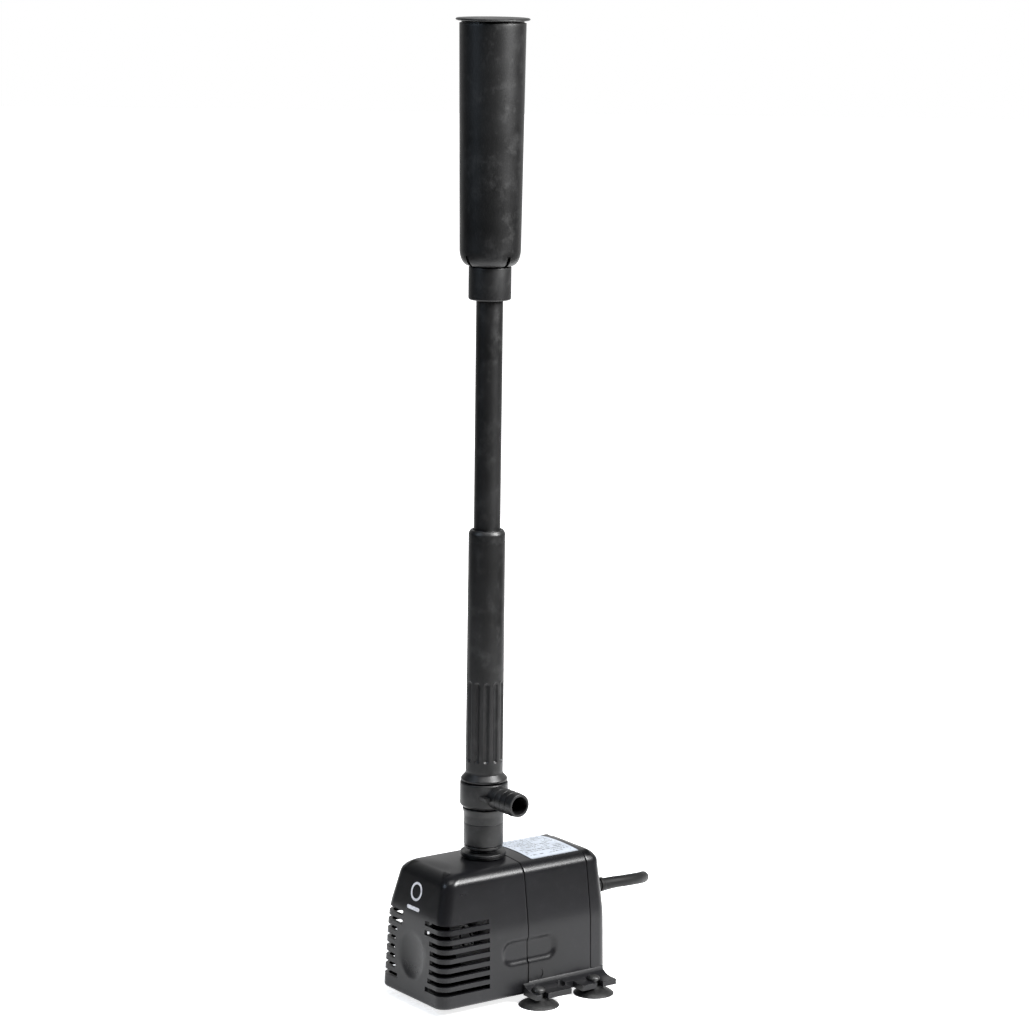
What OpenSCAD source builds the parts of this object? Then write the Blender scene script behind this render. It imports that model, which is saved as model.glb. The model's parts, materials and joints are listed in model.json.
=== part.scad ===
// Submersible fountain pump with a telescopic riser, a side hose outlet and a bell nozzle.
// Millimetres, +Z up. The origin is the middle of the footprint, on the floor the cups stand on.

/* [Body] */
// Width of the moulded body at its base
body_w = 66; // [58:1:84]
// Length of the moulded body, front face to rear face
body_l = 125; // [112:1:160]
// Height of the moulded body above its base
body_h = 81; // [74:1:100]
// Clear height between the floor and the body
foot_gap = 5; // [4:0.5:8]
// Wall thickness of the covers and the housing
wall = 2.4; // [1.8:0.1:3.2]
// Length of the front cover, face to seam
cover_l = 64.5; // [60:0.5:72]
// Length of the rear cover
rear_l = 13.5; // [12:0.5:18]
// Width of the groove that shows at each seam
seam_gap = 0.5; // [0.3:0.1:0.8]
// Radius of the upright corners
corner_r = 7; // [4:0.5:9]
// Radius of the top edges
top_r = 7; // [4:0.5:9]

/* [Intake] */
// Number of slots on each side of the front cover
slot_count = 8; // [5:1:8]
// Distance from one slot to the next
slot_pitch = 5.7; // [5:0.1:5.9]
// Height of a slot
slot_h = 2.9; // [2:0.1:3.2]
// Height of the lowest slot's middle above the base
slot_first_h = 10; // [8:0.5:12]
// Length of a slot along the side of the cover
slot_side_l = 36; // [28:1:40]
// Width of the oval thumb recess in the front face
dish_w = 26; // [20:1:28]

/* [Base] */
// Thickness of the lugs that hold the suction cups
lug_t = 3.5; // [3:0.25:5]
// How far the lugs stand out from the body
lug_out = 14.5; // [13:0.5:18]
// Diameter of a suction cup
cup_d = 25; // [20:1:27]
// Distance between the front and the rear cups
cup_spacing = 41.5; // [38:0.5:46]
// Diameter of a suction cup's neck
cup_neck_d = 5.4; // [4.5:0.1:6.5]

/* [Motor] */
// Height of the rotor axis above the base
rotor_h = 31; // [29:0.5:34]
// Diameter of the rotor magnet
magnet_d = 24; // [20:0.5:26]
// Length of the rotor magnet
magnet_l = 26; // [20:1:28]
// Diameter of the ceramic shaft
shaft_d = 4; // [3:0.25:5]
// Diameter of the impeller
impeller_d = 35; // [30:1:37]
// Number of impeller blades
blade_count = 6; // [4:1:8]
// Gap between the magnet and its well
magnet_gap = 0.8; // [0.6:0.1:1.2]
// Depth of the stack of laminations
stack_l = 22; // [16:1:22]

/* [Riser] */
// Distance of the riser axis behind the front face
riser_back = 53; // [50:0.5:55]
// Outside diameter of the telescopic upper tube
tube_d = 16; // [13:0.5:17]
// Wall of the tubes
tube_wall = 1.5; // [1.2:0.1:2]
// Length of the lower riser tube
lower_l = 154; // [130:1:200]
// Length of the telescopic upper tube
upper_l = 167; // [140:1:200]
// How much of the upper tube stays in the lower one when drawn out
engage_l = 18; // [12:1:24]
// Diameter of the lower riser tube at its foot
grip_d = 22.8; // [22.4:0.2:25]
// Number of flutes in the grip
flute_count = 12; // [8:1:16]
// Diameter of the flange that the riser stands on
flange_d = 28; // [26:1:32]
// Diameter of the ring that carries the hose barb
ring_d = 29.2; // [28.6:0.2:32]
// Height of that ring
ring_h = 15.2; // [14:0.2:18]
// Bore of the hose barb
barb_bore_d = 11; // [8:0.5:11.5]
// Reach of the hose barb from the riser axis
barb_reach = 37; // [32:1:45]

/* [Nozzle] */
// Diameter of the nozzle sleeve at its top
sleeve_top_d = 39.3; // [36:0.1:44]
// Diameter of the nozzle sleeve above its domed foot
sleeve_low_d = 36.4; // [34:0.1:40]
// Length of the nozzle sleeve
sleeve_l = 142.7; // [110:1:170]
// Wall of the nozzle sleeve
sleeve_wall = 1.8; // [1.4:0.1:2.4]
// Diameter of the collar below the sleeve
collar_d = 25.4; // [24:0.2:28]
// Height of that collar
collar_h = 19.5; // [16:0.5:24]
// Diameter of the cap plate
cap_d = 44; // [42:0.5:50]
// How far the cap plate lifts
cap_lift = 4; // [2:0.5:8]

/* [Cord] */
// Diameter of the power cord
cord_d = 7.4; // [6:0.1:8]
// Height of the cord's way out above the base
cord_h = 48; // [44:0.5:52]

/* [Hidden] */

$fn = 64;
soft_fn = 32;
eps = 0.01;

// Clearances
fit = 0.05;      // a running fit, on the radius
slip = 0.3;      // between parts that slide or turn past each other
big = 400;       // longer than any part that is cut

// Colours
black = "#26262a";
dark = "#1b1b1e";
rubber_black = "#151517";

// Places along the length of the body
front_y = -body_l / 2;
rear_y = body_l / 2;
seam1_y = front_y + cover_l;
seam2_y = rear_y - rear_l;
riser_y = front_y + riser_back;
base_z = foot_gap;
top_z = base_z + body_h;
rotor_z = base_z + rotor_h;
cord_z = base_z + cord_h;
shell_front = seam1_y + seam_gap / 2;
shell_rear = seam2_y - seam_gap / 2;

// Shape of the body: its walls are nearly upright below the knee and lean in above it.
crown = 1;                       // rise of the top from its edges to its middle
side_knee = 42;                  // height of the knee in the side walls, above the base
side_low = 1;                    // how much a side wall leans in below the knee
side_lean = 8.5;                 // lean of a side wall above the knee, in degrees
front_knee = 53;                 // the same for the front face
front_low = 2.4;
front_lean = 14;
rear_low = 0.3;
rear_lean = 3;
base_r = 2;                      // radius of the bottom edge
shoulder_z = top_z - crown - top_r;

function side_in(z) = side_low * min(1, (z - base_z) / side_knee)
    + max(0, z - base_z - side_knee) * tan(side_lean);
function front_in(z) = front_low * min(1, (z - base_z) / front_knee)
    + max(0, z - base_z - front_knee) * tan(front_lean);
function rear_in(z) = rear_low * min(1, (z - base_z) / side_knee)
    + max(0, z - base_z - side_knee) * tan(rear_lean);

// One level of the body: four discs at its corners, drawn in from the walls by the inset.
module level(z, inset, r) {
    x = body_w / 2 - side_in(z) - inset - r;
    y0 = front_y + front_in(z) + inset + r;
    y1 = rear_y - rear_in(z) - inset - r;
    for (sx = [-1, 1], y = [y0, y1]) {
        translate([sx * x, y, z]) cylinder(r = r, h = eps, $fn = soft_fn);
    }
}

// The whole body as one rounded block, drawn in on every side by g.
module loaf(g) {
    r = max(1, corner_r - g);
    tr = max(1, top_r - g);
    low = base_z + g;
    hull() {
        level(low, g + base_r, r);
        level(low + base_r, g, r);
        level(base_z + side_knee, g, r);
        level(base_z + front_knee, g, r);
        for (a = [0:22.5:90]) {
            level(shoulder_z + (top_r - g - tr) + tr * sin(a), g + tr * (1 - cos(a)), r + 1);
        }
        for (y = [front_y + 26, rear_y - 12]) {
            translate([-4, y, top_z - g - eps]) cube([8, eps, eps]);
        }
    }
}

// Everything between two places along the length, above a height.
module slab(y0, y1, z0 = 0) {
    translate([-big / 2, y0, z0]) cube([big, y1 - y0, big]);
}

// A cylinder lying along the length, from y0 to y1, on the rotor axis unless told otherwise.
module along(y0, y1, r, z = rotor_z) {
    translate([0, y0, z]) rotate([-90, 0, 0]) cylinder(r = r, h = y1 - y0);
}

// ---------- front cover ----------

// Half the width of solid face between the two groups of slots, at slot number i.
// The slots' inner ends follow the oval recess and close up above and below it.
dish_z = base_z + slot_first_h + 2.9 * slot_pitch;
dish_rise = 1.6;                   // makes the recess taller than it is wide
function slot_inner(i) = i >= 6 ? 11.8 : 11 + 7.6 * sqrt(max(0, 1 - pow((i - 3) / 3.5, 2)));

lip_l = 4;                         // length of the lip that carries the front cover
lip_t = 1.4;
slot_side_y = front_y + slot_side_l;
shank_d = tube_d + 0.6;            // threaded end of the outlet adapter
notch_w = shank_d + 2 * slip;

module slots() {
    for (i = [0:slot_count - 1], s = [-1, 1]) {
        z = base_z + slot_first_h + i * slot_pitch;
        x = s > 0 ? slot_inner(i) : -slot_inner(i) - body_w;
        translate([x, front_y - 2, z - slot_h / 2]) cube([body_w, slot_side_y - front_y + 2, slot_h]);
    }
}

module finger_recess() {
    recess_l = 42;
    recess_h = 17;
    recess_deep = 1.4;
    r = recess_h / 2 - 0.5;
    for (s = [-1, 1]) {
        translate([s * (body_w / 2 - recess_deep + 4), seam1_y - 20, base_z + 19])
            rotate([90, 0, 90])
            translate([0, 0, -4])
            translate([r, r, s > 0 ? 0 : -4])
            linear_extrude(8)
            polygon(concat(
                [for (a = [180:15:270]) [r * cos(a), r * sin(a)]],
                [for (a = [270:15:360]) [recess_l - 2 * r + r * cos(a), r * sin(a)]],
                [for (a = [0:15:90]) [recess_l - 2 * r + r * cos(a), 1 + r * sin(a)]],
                [for (a = [90:15:180]) [r * cos(a), 1 + r * sin(a)]]));
    }
}

module front_cover() {
    dish_deep = 2;
    ball_r = (dish_w * dish_w / 4 + dish_deep * dish_deep) / (2 * dish_deep);
    face_y = front_y + front_in(dish_z);
    color(black)
    difference() {
        intersection() {
            loaf(0);
            slab(front_y - 1, seam1_y - seam_gap / 2);
        }
        difference() {
            loaf(wall);
            translate([0, face_y, dish_z]) rotate([-90, 0, 0]) cylinder(d = dish_w + 3, h = wall + 2);
        }
        slots();
        hull() {
            for (z = [-dish_rise, dish_rise]) {
                translate([0, face_y - ball_r + dish_deep, dish_z + z]) sphere(r = ball_r, $fn = 72);
            }
        }
        translate([0, riser_y, top_z - 20]) cylinder(d = notch_w, h = 30);
        translate([-notch_w / 2, riser_y, top_z - 20]) cube([notch_w, cover_l, 30]);
        finger_recess();
    }
}

// ---------- motor housing, with the base that carries the cups ----------

mark_r = 3.4;                      // round mould mark low on each side
mark_deep = 0.4;
sole_h = 7;                        // height of the sole that runs on under the rear cover
bulk_t = 2.8;                      // thickness of the wall behind the seam
well_r = magnet_d / 2 + magnet_gap;
well_t = 1.2;
cup_x = body_w / 2 + 8;
cup_front_y = seam1_y + 2;
lug_z = base_z;
lug_front_y = cup_front_y - 6;
lug_rear_y = cup_front_y + cup_spacing + 12.5;
notch_front_y = cup_front_y + 20;
notch_l = 8.5;
lug_reach = body_w / 2 + lug_out;

// A stretch of the flange beside the body, from y0 to y1: flat at its edge, flaring up to the wall.
module lug(s, y0, y1) {
    wall_x = body_w / 2;
    mirror([s > 0 ? 0 : 1, 0, 0])
        translate([0, y1, 0]) rotate([90, 0, 0]) linear_extrude(y1 - y0) polygon([
            [wall_x - wall + 0.2, lug_z], [lug_reach, lug_z], [lug_reach, lug_z + lug_t],
            [wall_x + 9, lug_z + lug_t], [wall_x + 4, lug_z + lug_t + 1],
            [wall_x - 0.5, lug_z + lug_t + 4], [wall_x - wall + 0.2, lug_z + lug_t + 4]]);
}

module lugs() {
    notch_end_y = notch_front_y + notch_l;
    for (s = [-1, 1]) {
        difference() {
            union() {
                lug(s, lug_front_y, notch_front_y);
                lug(s, notch_end_y, lug_rear_y);
                // the narrow stretch behind the notch
                intersection() {
                    lug(s, lug_front_y, lug_rear_y);
                    translate([s > 0 ? 0 : -body_w / 2 - 5, 0, 0]) cube([body_w / 2 + 5, body_l, 20]);
                }
            }
            // the open slots that the cups' necks push into
            for (y = [cup_front_y, cup_front_y + cup_spacing]) {
                translate([s * cup_x, y, 0]) cylinder(d = cup_neck_d + 2 * fit, h = 30);
                translate([s > 0 ? cup_x : -cup_x - lug_out, y - cup_neck_d / 2 + 0.3, 0])
                    cube([lug_out, cup_neck_d - 0.6, 30]);
                translate([s * cup_x, y, lug_z + lug_t]) cylinder(r = cup_neck_d / 2 + 2, h = 20);
            }
            // the hook: the notch runs on behind the front lug's tip
            translate([s * (body_w / 2 + 5), notch_front_y - 1, 0]) cylinder(r = 3, h = 30);
        }
    }
}

module motor_housing() {
    color(black)
    difference() {
        union() {
            difference() {
                intersection() {
                    loaf(0);
                    slab(shell_front, shell_rear);
                }
                intersection() {
                    loaf(wall);
                    slab(shell_front + bulk_t, rear_y);
                }
                finger_recess();
            }
            // the lip that the front cover slides onto
            intersection() {
                difference() {
                    loaf(wall + slip);
                    loaf(wall + slip + lip_t);
                }
                slab(shell_front - lip_l, shell_front + eps);
            }
            // the sole under the rear cover
            intersection() {
                loaf(0);
                translate([-big / 2, shell_rear - eps, 0]) cube([big, rear_l + 1, base_z + sole_h]);
            }
            difference() {
                lugs();
                // room for the front cover's walls, which run past the front lugs
                translate([-body_w / 2 - slip, lug_front_y - 1, 0])
                    cube([body_w + 2 * slip, shell_front - lug_front_y + 1, base_z + side_knee]);
            }
        }
        for (s = [-1, 1]) {
            translate([s * (body_w / 2 + 1), seam1_y + 7.7, base_z + 11.6]) rotate([0, -s * 90, 0])
                cylinder(r = mark_r, h = 1 + side_low / 4 + mark_deep);
        }
        along(seam1_y - 10, shell_front + bulk_t + 1, well_r + well_t);
        // the lip is open at the top, where the outlet shank passes
        translate([-notch_w / 2 - 1, shell_front - lip_l - 1, top_z - 20]) cube([notch_w + 2, lip_l + 1, 30]);
    }
}

module rear_cover() {
    color(black)
    difference() {
        intersection() {
            loaf(0);
            slab(seam2_y + seam_gap / 2, rear_y + 1, base_z + sole_h + seam_gap);
        }
        intersection() {
            loaf(wall);
            slab(seam2_y, rear_y + 1, base_z + sole_h + seam_gap + wall);
        }
        along(seam2_y, rear_y + 1, cord_hole_r, cord_z);
    }
}

label_half = 20;
label_front_y = seam1_y + 10.5;
label_rear_y = seam2_y - 1;
label_t = 0.25;

module rating_label() {
    color("#d9dde4")
    intersection() {
        difference() {
            loaf(-label_t);
            loaf(0);
        }
        translate([-label_half, label_front_y, top_z - 6])
            cube([2 * label_half, label_rear_y - label_front_y, 10]);
    }
}

// ---------- pump chamber and rotor ----------

flange_t = 3;
well_flange_r = well_r + well_t + 12;
well_front_y = shell_front - flange_t;
chamber_r = impeller_d / 2 + 4;
chamber_wall = 2;
chamber_l = 17;
chamber_front_y = well_front_y - chamber_l;
eye_r = 7;
spout_r = shank_d / 2 + 2;
spout_top_z = top_z - wall - crown - slip;
bush_l = 5;
bush_r = shaft_d / 2 + 1.6;
bush_wall = 1.4;
magnet_y0 = shell_front + bulk_t + 6;
well_end_y = magnet_y0 + magnet_l + 2;
shaft_front_y = chamber_front_y - 1;
shaft_rear_y = well_end_y + bush_l - 1;
seal_r = 0.9;

module chamber_cover() {
    color(dark)
    difference() {
        union() {
            along(chamber_front_y, well_front_y, chamber_r + chamber_wall);
            along(chamber_front_y - bush_l + 1, chamber_front_y + eps, eye_r + 1.5);
            difference() {
                translate([0, riser_y, rotor_z]) cylinder(r = spout_r, h = spout_top_z - rotor_z);
                along(well_front_y, well_front_y + big, well_flange_r + slip);
            }
        }
        along(chamber_front_y + chamber_wall, well_front_y + eps, chamber_r);
        difference() {
            along(chamber_front_y - bush_l, chamber_front_y + chamber_wall + eps, eye_r);
            // the spider that holds the front bush in the eye
            along(chamber_front_y - bush_l, chamber_front_y + chamber_wall, bush_r + bush_wall);
            for (a = [0:120:240]) {
                translate([0, chamber_front_y - bush_l + 1, rotor_z]) rotate([0, a, 0])
                    translate([-1, 0, 0]) cube([2, bush_l + 0.5, eye_r + 1]);
            }
        }
        along(chamber_front_y - bush_l - 1, chamber_front_y + chamber_wall + 1, bush_r);
        // the spout, bored through into the chamber
        translate([0, riser_y, rotor_z + chamber_r - 3]) cylinder(d = tube_d - 2 * tube_wall, h = big);
        translate([0, riser_y, spout_top_z - shank_l]) cylinder(d = shank_d, h = big);
    }
}

module chamber_seal() {
    color(rubber_black)
    translate([0, well_front_y + seal_r, rotor_z]) rotate([-90, 0, 0])
        rotate_extrude() translate([chamber_r + chamber_wall / 2, 0]) circle(r = seal_r, $fn = 24);
}

module rotor_well() {
    color(dark)
    difference() {
        union() {
            along(well_front_y, shell_front, well_flange_r);
            along(well_front_y, well_end_y + 1, well_r + well_t);
            along(well_end_y, well_end_y + bush_l + 1, bush_r + bush_wall);
        }
        along(well_front_y - 1, well_end_y, well_r);
        along(well_end_y - 1, well_end_y + bush_l, bush_r);
        // the groove that the seal lies in
        translate([0, well_front_y - eps, rotor_z]) rotate([-90, 0, 0]) rotate_extrude()
            translate([chamber_r + chamber_wall / 2 - seal_r, 0]) square([2 * seal_r, 2 * seal_r + eps]);
    }
}

stem_r = shaft_d / 2 + 2.4;        // the impeller's stem, pressed into the magnet
blade_l = 9;
disc_t = 1.8;
impeller_y1 = well_front_y - 0.5;

module impeller() {
    color("#3a3a3f")
    difference() {
        union() {
            along(impeller_y1 - disc_t, impeller_y1, impeller_d / 2);
            along(impeller_y1 - blade_l, magnet_y0 + magnet_l, stem_r);
            along(impeller_y1 - eps, magnet_y0, stem_r + 2.5);
            for (i = [0:blade_count - 1]) {
                translate([0, impeller_y1 - blade_l, rotor_z]) rotate([0, i * 360 / blade_count, 0])
                    translate([-0.8, 0, stem_r - 1]) cube([1.6, blade_l - 1, impeller_d / 2 - stem_r]);
            }
        }
        along(impeller_y1 - blade_l - 1, magnet_y0 + magnet_l + 1, shaft_d / 2 + fit);
    }
}

module rotor_magnet() {
    color("#4a4a4d")
    difference() {
        along(magnet_y0, magnet_y0 + magnet_l, magnet_d / 2);
        along(magnet_y0 - 1, magnet_y0 + magnet_l + 1, stem_r);
    }
}

module rotor_shaft() {
    color("#e8e6df")
    along(shaft_front_y, shaft_rear_y, shaft_d / 2);
}

// A rubber cup on the shaft's end, from y0 to y1, with its hole from h0 to h1.
module bush(y0, y1, h0, h1) {
    color(rubber_black)
    difference() {
        along(y0, y1, bush_r);
        along(h0, h1, shaft_d / 2);
    }
}

module front_bush() {
    bush(chamber_front_y - bush_l + 1, chamber_front_y + chamber_wall, shaft_front_y, chamber_front_y + big);
}

module rear_bush() {
    bush(well_end_y, well_end_y + bush_l, well_end_y - 1, shaft_rear_y);
}

// ---------- stator ----------

resin_skin = 1.6;                  // resin between the stator and the housing wall
core_half = body_w / 2 - side_low - wall - resin_skin - 7.5;
core_y0 = magnet_y0 + (magnet_l - stack_l) / 2;
core_top = top_z - crown - wall - resin_skin - 2.5;
yoke_h = 9;
core_bore_r = well_r + well_t + 0.2;
core_low = rotor_z - core_bore_r - 3;
leg_low = rotor_z + core_bore_r + 2.5;
leg_in = 7.5;
leg_w = core_half - leg_in;
bobbin_t = 1;
winding_t = 3;

module stator_core() {
    color("#8b8d90")
    translate([0, core_y0, 0])
    difference() {
        translate([-core_half, 0, core_low]) cube([2 * core_half, stack_l, core_top - core_low]);
        translate([0, -1, rotor_z]) rotate([-90, 0, 0]) cylinder(r = core_bore_r, h = stack_l + 2);
        translate([-leg_in, -1, leg_low]) cube([2 * leg_in, stack_l + 2, core_top - yoke_h - leg_low]);
        translate([-1.2, -1, core_low - 1]) cube([2.4, stack_l + 2, leg_low - core_low + 2]);
    }
}

bobbin_z0 = leg_low + 1;
bobbin_z1 = core_top - yoke_h - 1;

// A box round one leg of the core: g is how far it stands off the leg.
module leg_box(s, g, z0, z1) {
    x0 = leg_in - g;
    translate([s > 0 ? x0 : -x0 - leg_w - 2 * g, core_y0 - g, z0])
        cube([leg_w + 2 * g, stack_l + 2 * g, z1 - z0]);
}

module coil_bobbins() {
    color("#c9c2a8")
    for (s = [-1, 1]) {
        difference() {
            union() {
                leg_box(s, bobbin_t, bobbin_z0, bobbin_z1);
                leg_box(s, bobbin_t + winding_t, bobbin_z0, bobbin_z0 + 1);
                leg_box(s, bobbin_t + winding_t, bobbin_z1 - 1, bobbin_z1);
            }
            leg_box(s, 0, bobbin_z0 - 1, bobbin_z1 + 1);
        }
    }
}

module stator_windings() {
    color("#a5612e")
    for (s = [-1, 1]) {
        difference() {
            leg_box(s, bobbin_t + winding_t - 0.3, bobbin_z0 + 1, bobbin_z1 - 1);
            leg_box(s, bobbin_t, bobbin_z0, bobbin_z1);
        }
    }
}

gland_out_l = 20;
gland_flange_r = cord_d / 2 + 4;
cord_hole_r = cord_d / 2 + 1.9;
cord_in_y = seam2_y - 4;           // where the cord starts, in the resin

module resin_fill() {
    color("#2f3a3a")
    difference() {
        intersection() {
            loaf(wall);
            slab(shell_front + bulk_t, shell_rear, base_z + sole_h);
        }
        along(seam1_y, well_end_y + 1, well_r + well_t);
        along(well_end_y, well_end_y + bush_l + 1, bush_r + bush_wall);
        translate([-core_half, core_y0, core_low]) cube([2 * core_half, stack_l, core_top - core_low]);
        for (s = [-1, 1]) {
            leg_box(s, bobbin_t + winding_t, bobbin_z0, bobbin_z1);
        }
        along(cord_in_y, rear_y, cord_d / 2, cord_z);
    }
}

// ---------- outlet, valve and side barb ----------

shank_l = 12;
flange_z = top_z + slip;
flange_h = 3.2;
neck_r = tube_d / 2 + 0.3;
head_z = flange_z + flange_h + 2.6;
head_h = 1.5;
socket_z = head_z + head_h + slip;
socket_r = 12.1;
socket_h = 23;
spigot_r = socket_r - 1.8 - slip;
spigot_h = 13;
ring_z = socket_z + socket_h + 1;
ring_r = ring_d / 2;
core_r = socket_r - 0.6;           // the tube that the diverter ring turns on
riser_z = ring_z + ring_h + 1;     // the gap shows as a dark groove
water_r = tube_d / 2 - tube_wall;

module outlet_adapter() {
    color(dark)
    translate([0, riser_y, 0])
    difference() {
        union() {
            translate([0, 0, spout_top_z - shank_l]) cylinder(d = shank_d, h = flange_z - spout_top_z + shank_l);
            translate([0, 0, flange_z]) cylinder(d = flange_d - 1.4, h = flange_h);
            translate([0, 0, flange_z + 1.2]) cylinder(d = flange_d, h = flange_h - 1.2);
            translate([0, 0, flange_z]) cylinder(r = neck_r, h = head_z - flange_z);
            translate([0, 0, head_z - 1.4]) cylinder(r1 = neck_r, r2 = socket_r - 0.3, h = 1.4);
            translate([0, 0, head_z]) cylinder(r = socket_r - 0.3, h = head_h);
            translate([0, 0, head_z]) cylinder(r = spigot_r, h = head_h + slip + spigot_h);
        }
        translate([0, 0, spout_top_z - shank_l - 1]) cylinder(r = water_r, h = big);
        // the groove of the swivel seal
        translate([0, 0, socket_z + spigot_h - 5]) rotate_extrude()
            translate([spigot_r - 1.3, 0]) square([3, 2]);
    }
}

module outlet_seal() {
    color(rubber_black)
    translate([0, riser_y, socket_z + spigot_h - 4]) rotate_extrude()
        translate([spigot_r + slip - fit - 0.75, 0]) circle(r = 0.75, $fn = 24);
}

module valve_body() {
    color(black)
    translate([0, riser_y, 0])
    difference() {
        union() {
            translate([0, 0, socket_z]) cylinder(r = socket_r, h = socket_h - 4);
            translate([0, 0, socket_z + socket_h - 4]) cylinder(r1 = socket_r, r2 = socket_r + 0.8, h = 3);
            translate([0, 0, socket_z + socket_h - 1]) cylinder(r = socket_r + 0.8, h = 1);
            translate([0, 0, socket_z + socket_h - 1]) cylinder(r = core_r, h = riser_z - socket_z - socket_h + 1);
            translate([0, 0, riser_z - 1]) cylinder(r = valve_top_r, h = valve_top_h + 1);
        }
        translate([0, 0, socket_z - 1]) cylinder(r = spigot_r + slip, h = spigot_h + 1.5);
        translate([0, 0, socket_z]) cylinder(r = water_r, h = big);
        // the window that the barb's bore lines up with
        translate([0, 0, ring_z + ring_h / 2]) rotate([0, 90, 0]) cylinder(d = barb_bore_d - 1, h = core_r + 2);
    }
}

valve_top_r = tube_d / 2 + 1.2;
valve_top_h = 8;

module diverter_ring() {
    barb_z = ring_z + ring_h / 2;
    barb_r = barb_bore_d / 2 + 0.9;
    rib_l = 5.2;
    rib_groove = 1.1;
    color(black)
    translate([0, riser_y, 0])
    difference() {
        union() {
            translate([0, 0, ring_z + 1.5]) cylinder(r = ring_r, h = ring_h - 1.5);
            translate([0, 0, ring_z]) cylinder(r1 = ring_r - 1.2, r2 = ring_r, h = 1.5);
            translate([0, 0, barb_z]) rotate([0, 90, 0]) cylinder(r = barb_r, h = barb_reach);
            translate([0, 0, barb_z]) rotate([0, 90, 0]) cylinder(r = barb_r + 0.7, h = ring_r + 2);
            for (i = [0:3]) {
                translate([barb_reach - (i + 1) * rib_l, 0, barb_z]) rotate([0, 90, 0])
                    cylinder(r1 = barb_r + 1.1, r2 = barb_r + 0.6, h = rib_l - rib_groove);
            }
            // the web beside the barb
            translate([ring_r - 6, -ring_r + 4, barb_z - 1]) cube([9, ring_r - 4, 2]);
        }
        translate([0, 0, ring_z - 1]) cylinder(r = core_r + slip, h = ring_h + 2);
        translate([0, 0, barb_z]) rotate([0, 90, 0]) cylinder(d = barb_bore_d, h = barb_reach + 1);
    }
}

// ---------- riser ----------

lower_top_z = riser_z + lower_l;
grip_top_r = grip_d / 2 - 0.35;
foot_r = ring_r - 0.5;
bore_r = tube_d / 2 + slip;
flute_low = 12;
flute_l = 50;
o_ring_z = lower_top_z - 6;
upper_z = lower_top_z - engage_l;
upper_top_z = upper_z + upper_l;

module lower_riser() {
    flute_r = 1.6;
    color(black)
    translate([0, riser_y, 0])
    difference() {
        union() {
            translate([0, 0, riser_z]) cylinder(r = foot_r, h = 1.2);
            translate([0, 0, riser_z + 1.2]) cylinder(r1 = foot_r, r2 = grip_d / 2, h = 3.2);
            translate([0, 0, riser_z + 1.2]) cylinder(r1 = grip_d / 2, r2 = grip_top_r, h = lower_l - 3.2);
            translate([0, 0, lower_top_z - 2]) cylinder(r1 = grip_top_r, r2 = grip_top_r - 1.4, h = 2);
        }
        translate([0, 0, riser_z - 1]) cylinder(r = bore_r, h = lower_l + 2);
        translate([0, 0, riser_z - 1]) cylinder(r = valve_top_r, h = valve_top_h + 1);
        translate([0, 0, o_ring_z - 1]) cylinder(r = bore_r + 0.9, h = 2);
        for (i = [0:flute_count - 1]) {
            rotate([0, 0, i * 360 / flute_count]) translate([grip_d / 2 + flute_r - 1, 0, riser_z + flute_low])
                cylinder(r = flute_r, h = flute_l, $fn = 16);
        }
    }
}

module riser_o_ring() {
    color(rubber_black)
    translate([0, riser_y, o_ring_z]) rotate_extrude()
        translate([tube_d / 2 + fit + 0.55, 0]) circle(r = 0.55, $fn = 24);
}

module upper_riser() {
    color(black)
    translate([0, riser_y, upper_z])
    difference() {
        union() {
            cylinder(d = tube_d, h = upper_l);
            cylinder(r = bore_r - fit, h = 3);
        }
        translate([0, 0, -1]) cylinder(r = water_r, h = upper_l + 2);
    }
}

// ---------- nozzle ----------

hub_in = 10.6;                     // how far the tube reaches into the collar
collar_z = upper_top_z - hub_in;
collar_top_z = collar_z + collar_h;
hub_spigot_r = collar_d / 2 - 2.2;
sleeve_z = collar_top_z + 0.8;
sleeve_top_z = sleeve_z + sleeve_l;
dome_h = 10;
jet_r = 6;
jet_bore_r = 4.2;
stem_hole_r = 2.6;
jet_top_z = sleeve_top_z - 12;

module nozzle_hub() {
    color(black)
    translate([0, riser_y, 0])
    difference() {
        union() {
            translate([0, 0, collar_z]) cylinder(r1 = collar_d / 2 - 0.6, r2 = collar_d / 2, h = 0.8);
            translate([0, 0, collar_z + 0.8]) cylinder(d = collar_d, h = collar_h - 0.8);
            translate([0, 0, collar_top_z - eps]) cylinder(r = hub_spigot_r, h = 6);
        }
        translate([0, 0, collar_z - 1]) cylinder(r = tube_d / 2 + fit, h = hub_in + 1 + slip);
        translate([0, 0, collar_z]) cylinder(r = jet_bore_r, h = big);
        translate([0, 0, collar_top_z - 2]) cylinder(r = jet_r, h = 20);
    }
}

module jet_tube() {
    color(dark)
    translate([0, riser_y, 0])
    difference() {
        translate([0, 0, collar_top_z - 2]) cylinder(r = jet_r, h = jet_top_z - collar_top_z + 2);
        translate([0, 0, collar_top_z - 3]) cylinder(r = jet_bore_r, h = jet_top_z - collar_top_z - 22);
        translate([0, 0, jet_top_z - 26]) cylinder(r = stem_hole_r, h = 40);
        // the side windows that the water leaves by
        for (a = [0:60:300]) {
            rotate([0, 0, a]) translate([0, -1.5, jet_top_z - 34]) cube([jet_r + 1, 3, 8]);
        }
    }
}

// Outside of the sleeve: a domed foot, then a wall that widens towards the top.
// Points from the axis to the rim, drawn in by g.
foot_hole_r = hub_spigot_r;
dome_r = collar_d / 2 + 0.5;
function sleeve_side(g) = concat(
    [for (a = [0:10:90])
        [dome_r - g + (sleeve_low_d / 2 - dome_r) * sin(a), (dome_h - g) * (1 - cos(a)) + g]],
    [[sleeve_top_d / 2 - g, sleeve_l - 1 + (g > 0 ? 2 : 0)]]);

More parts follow.
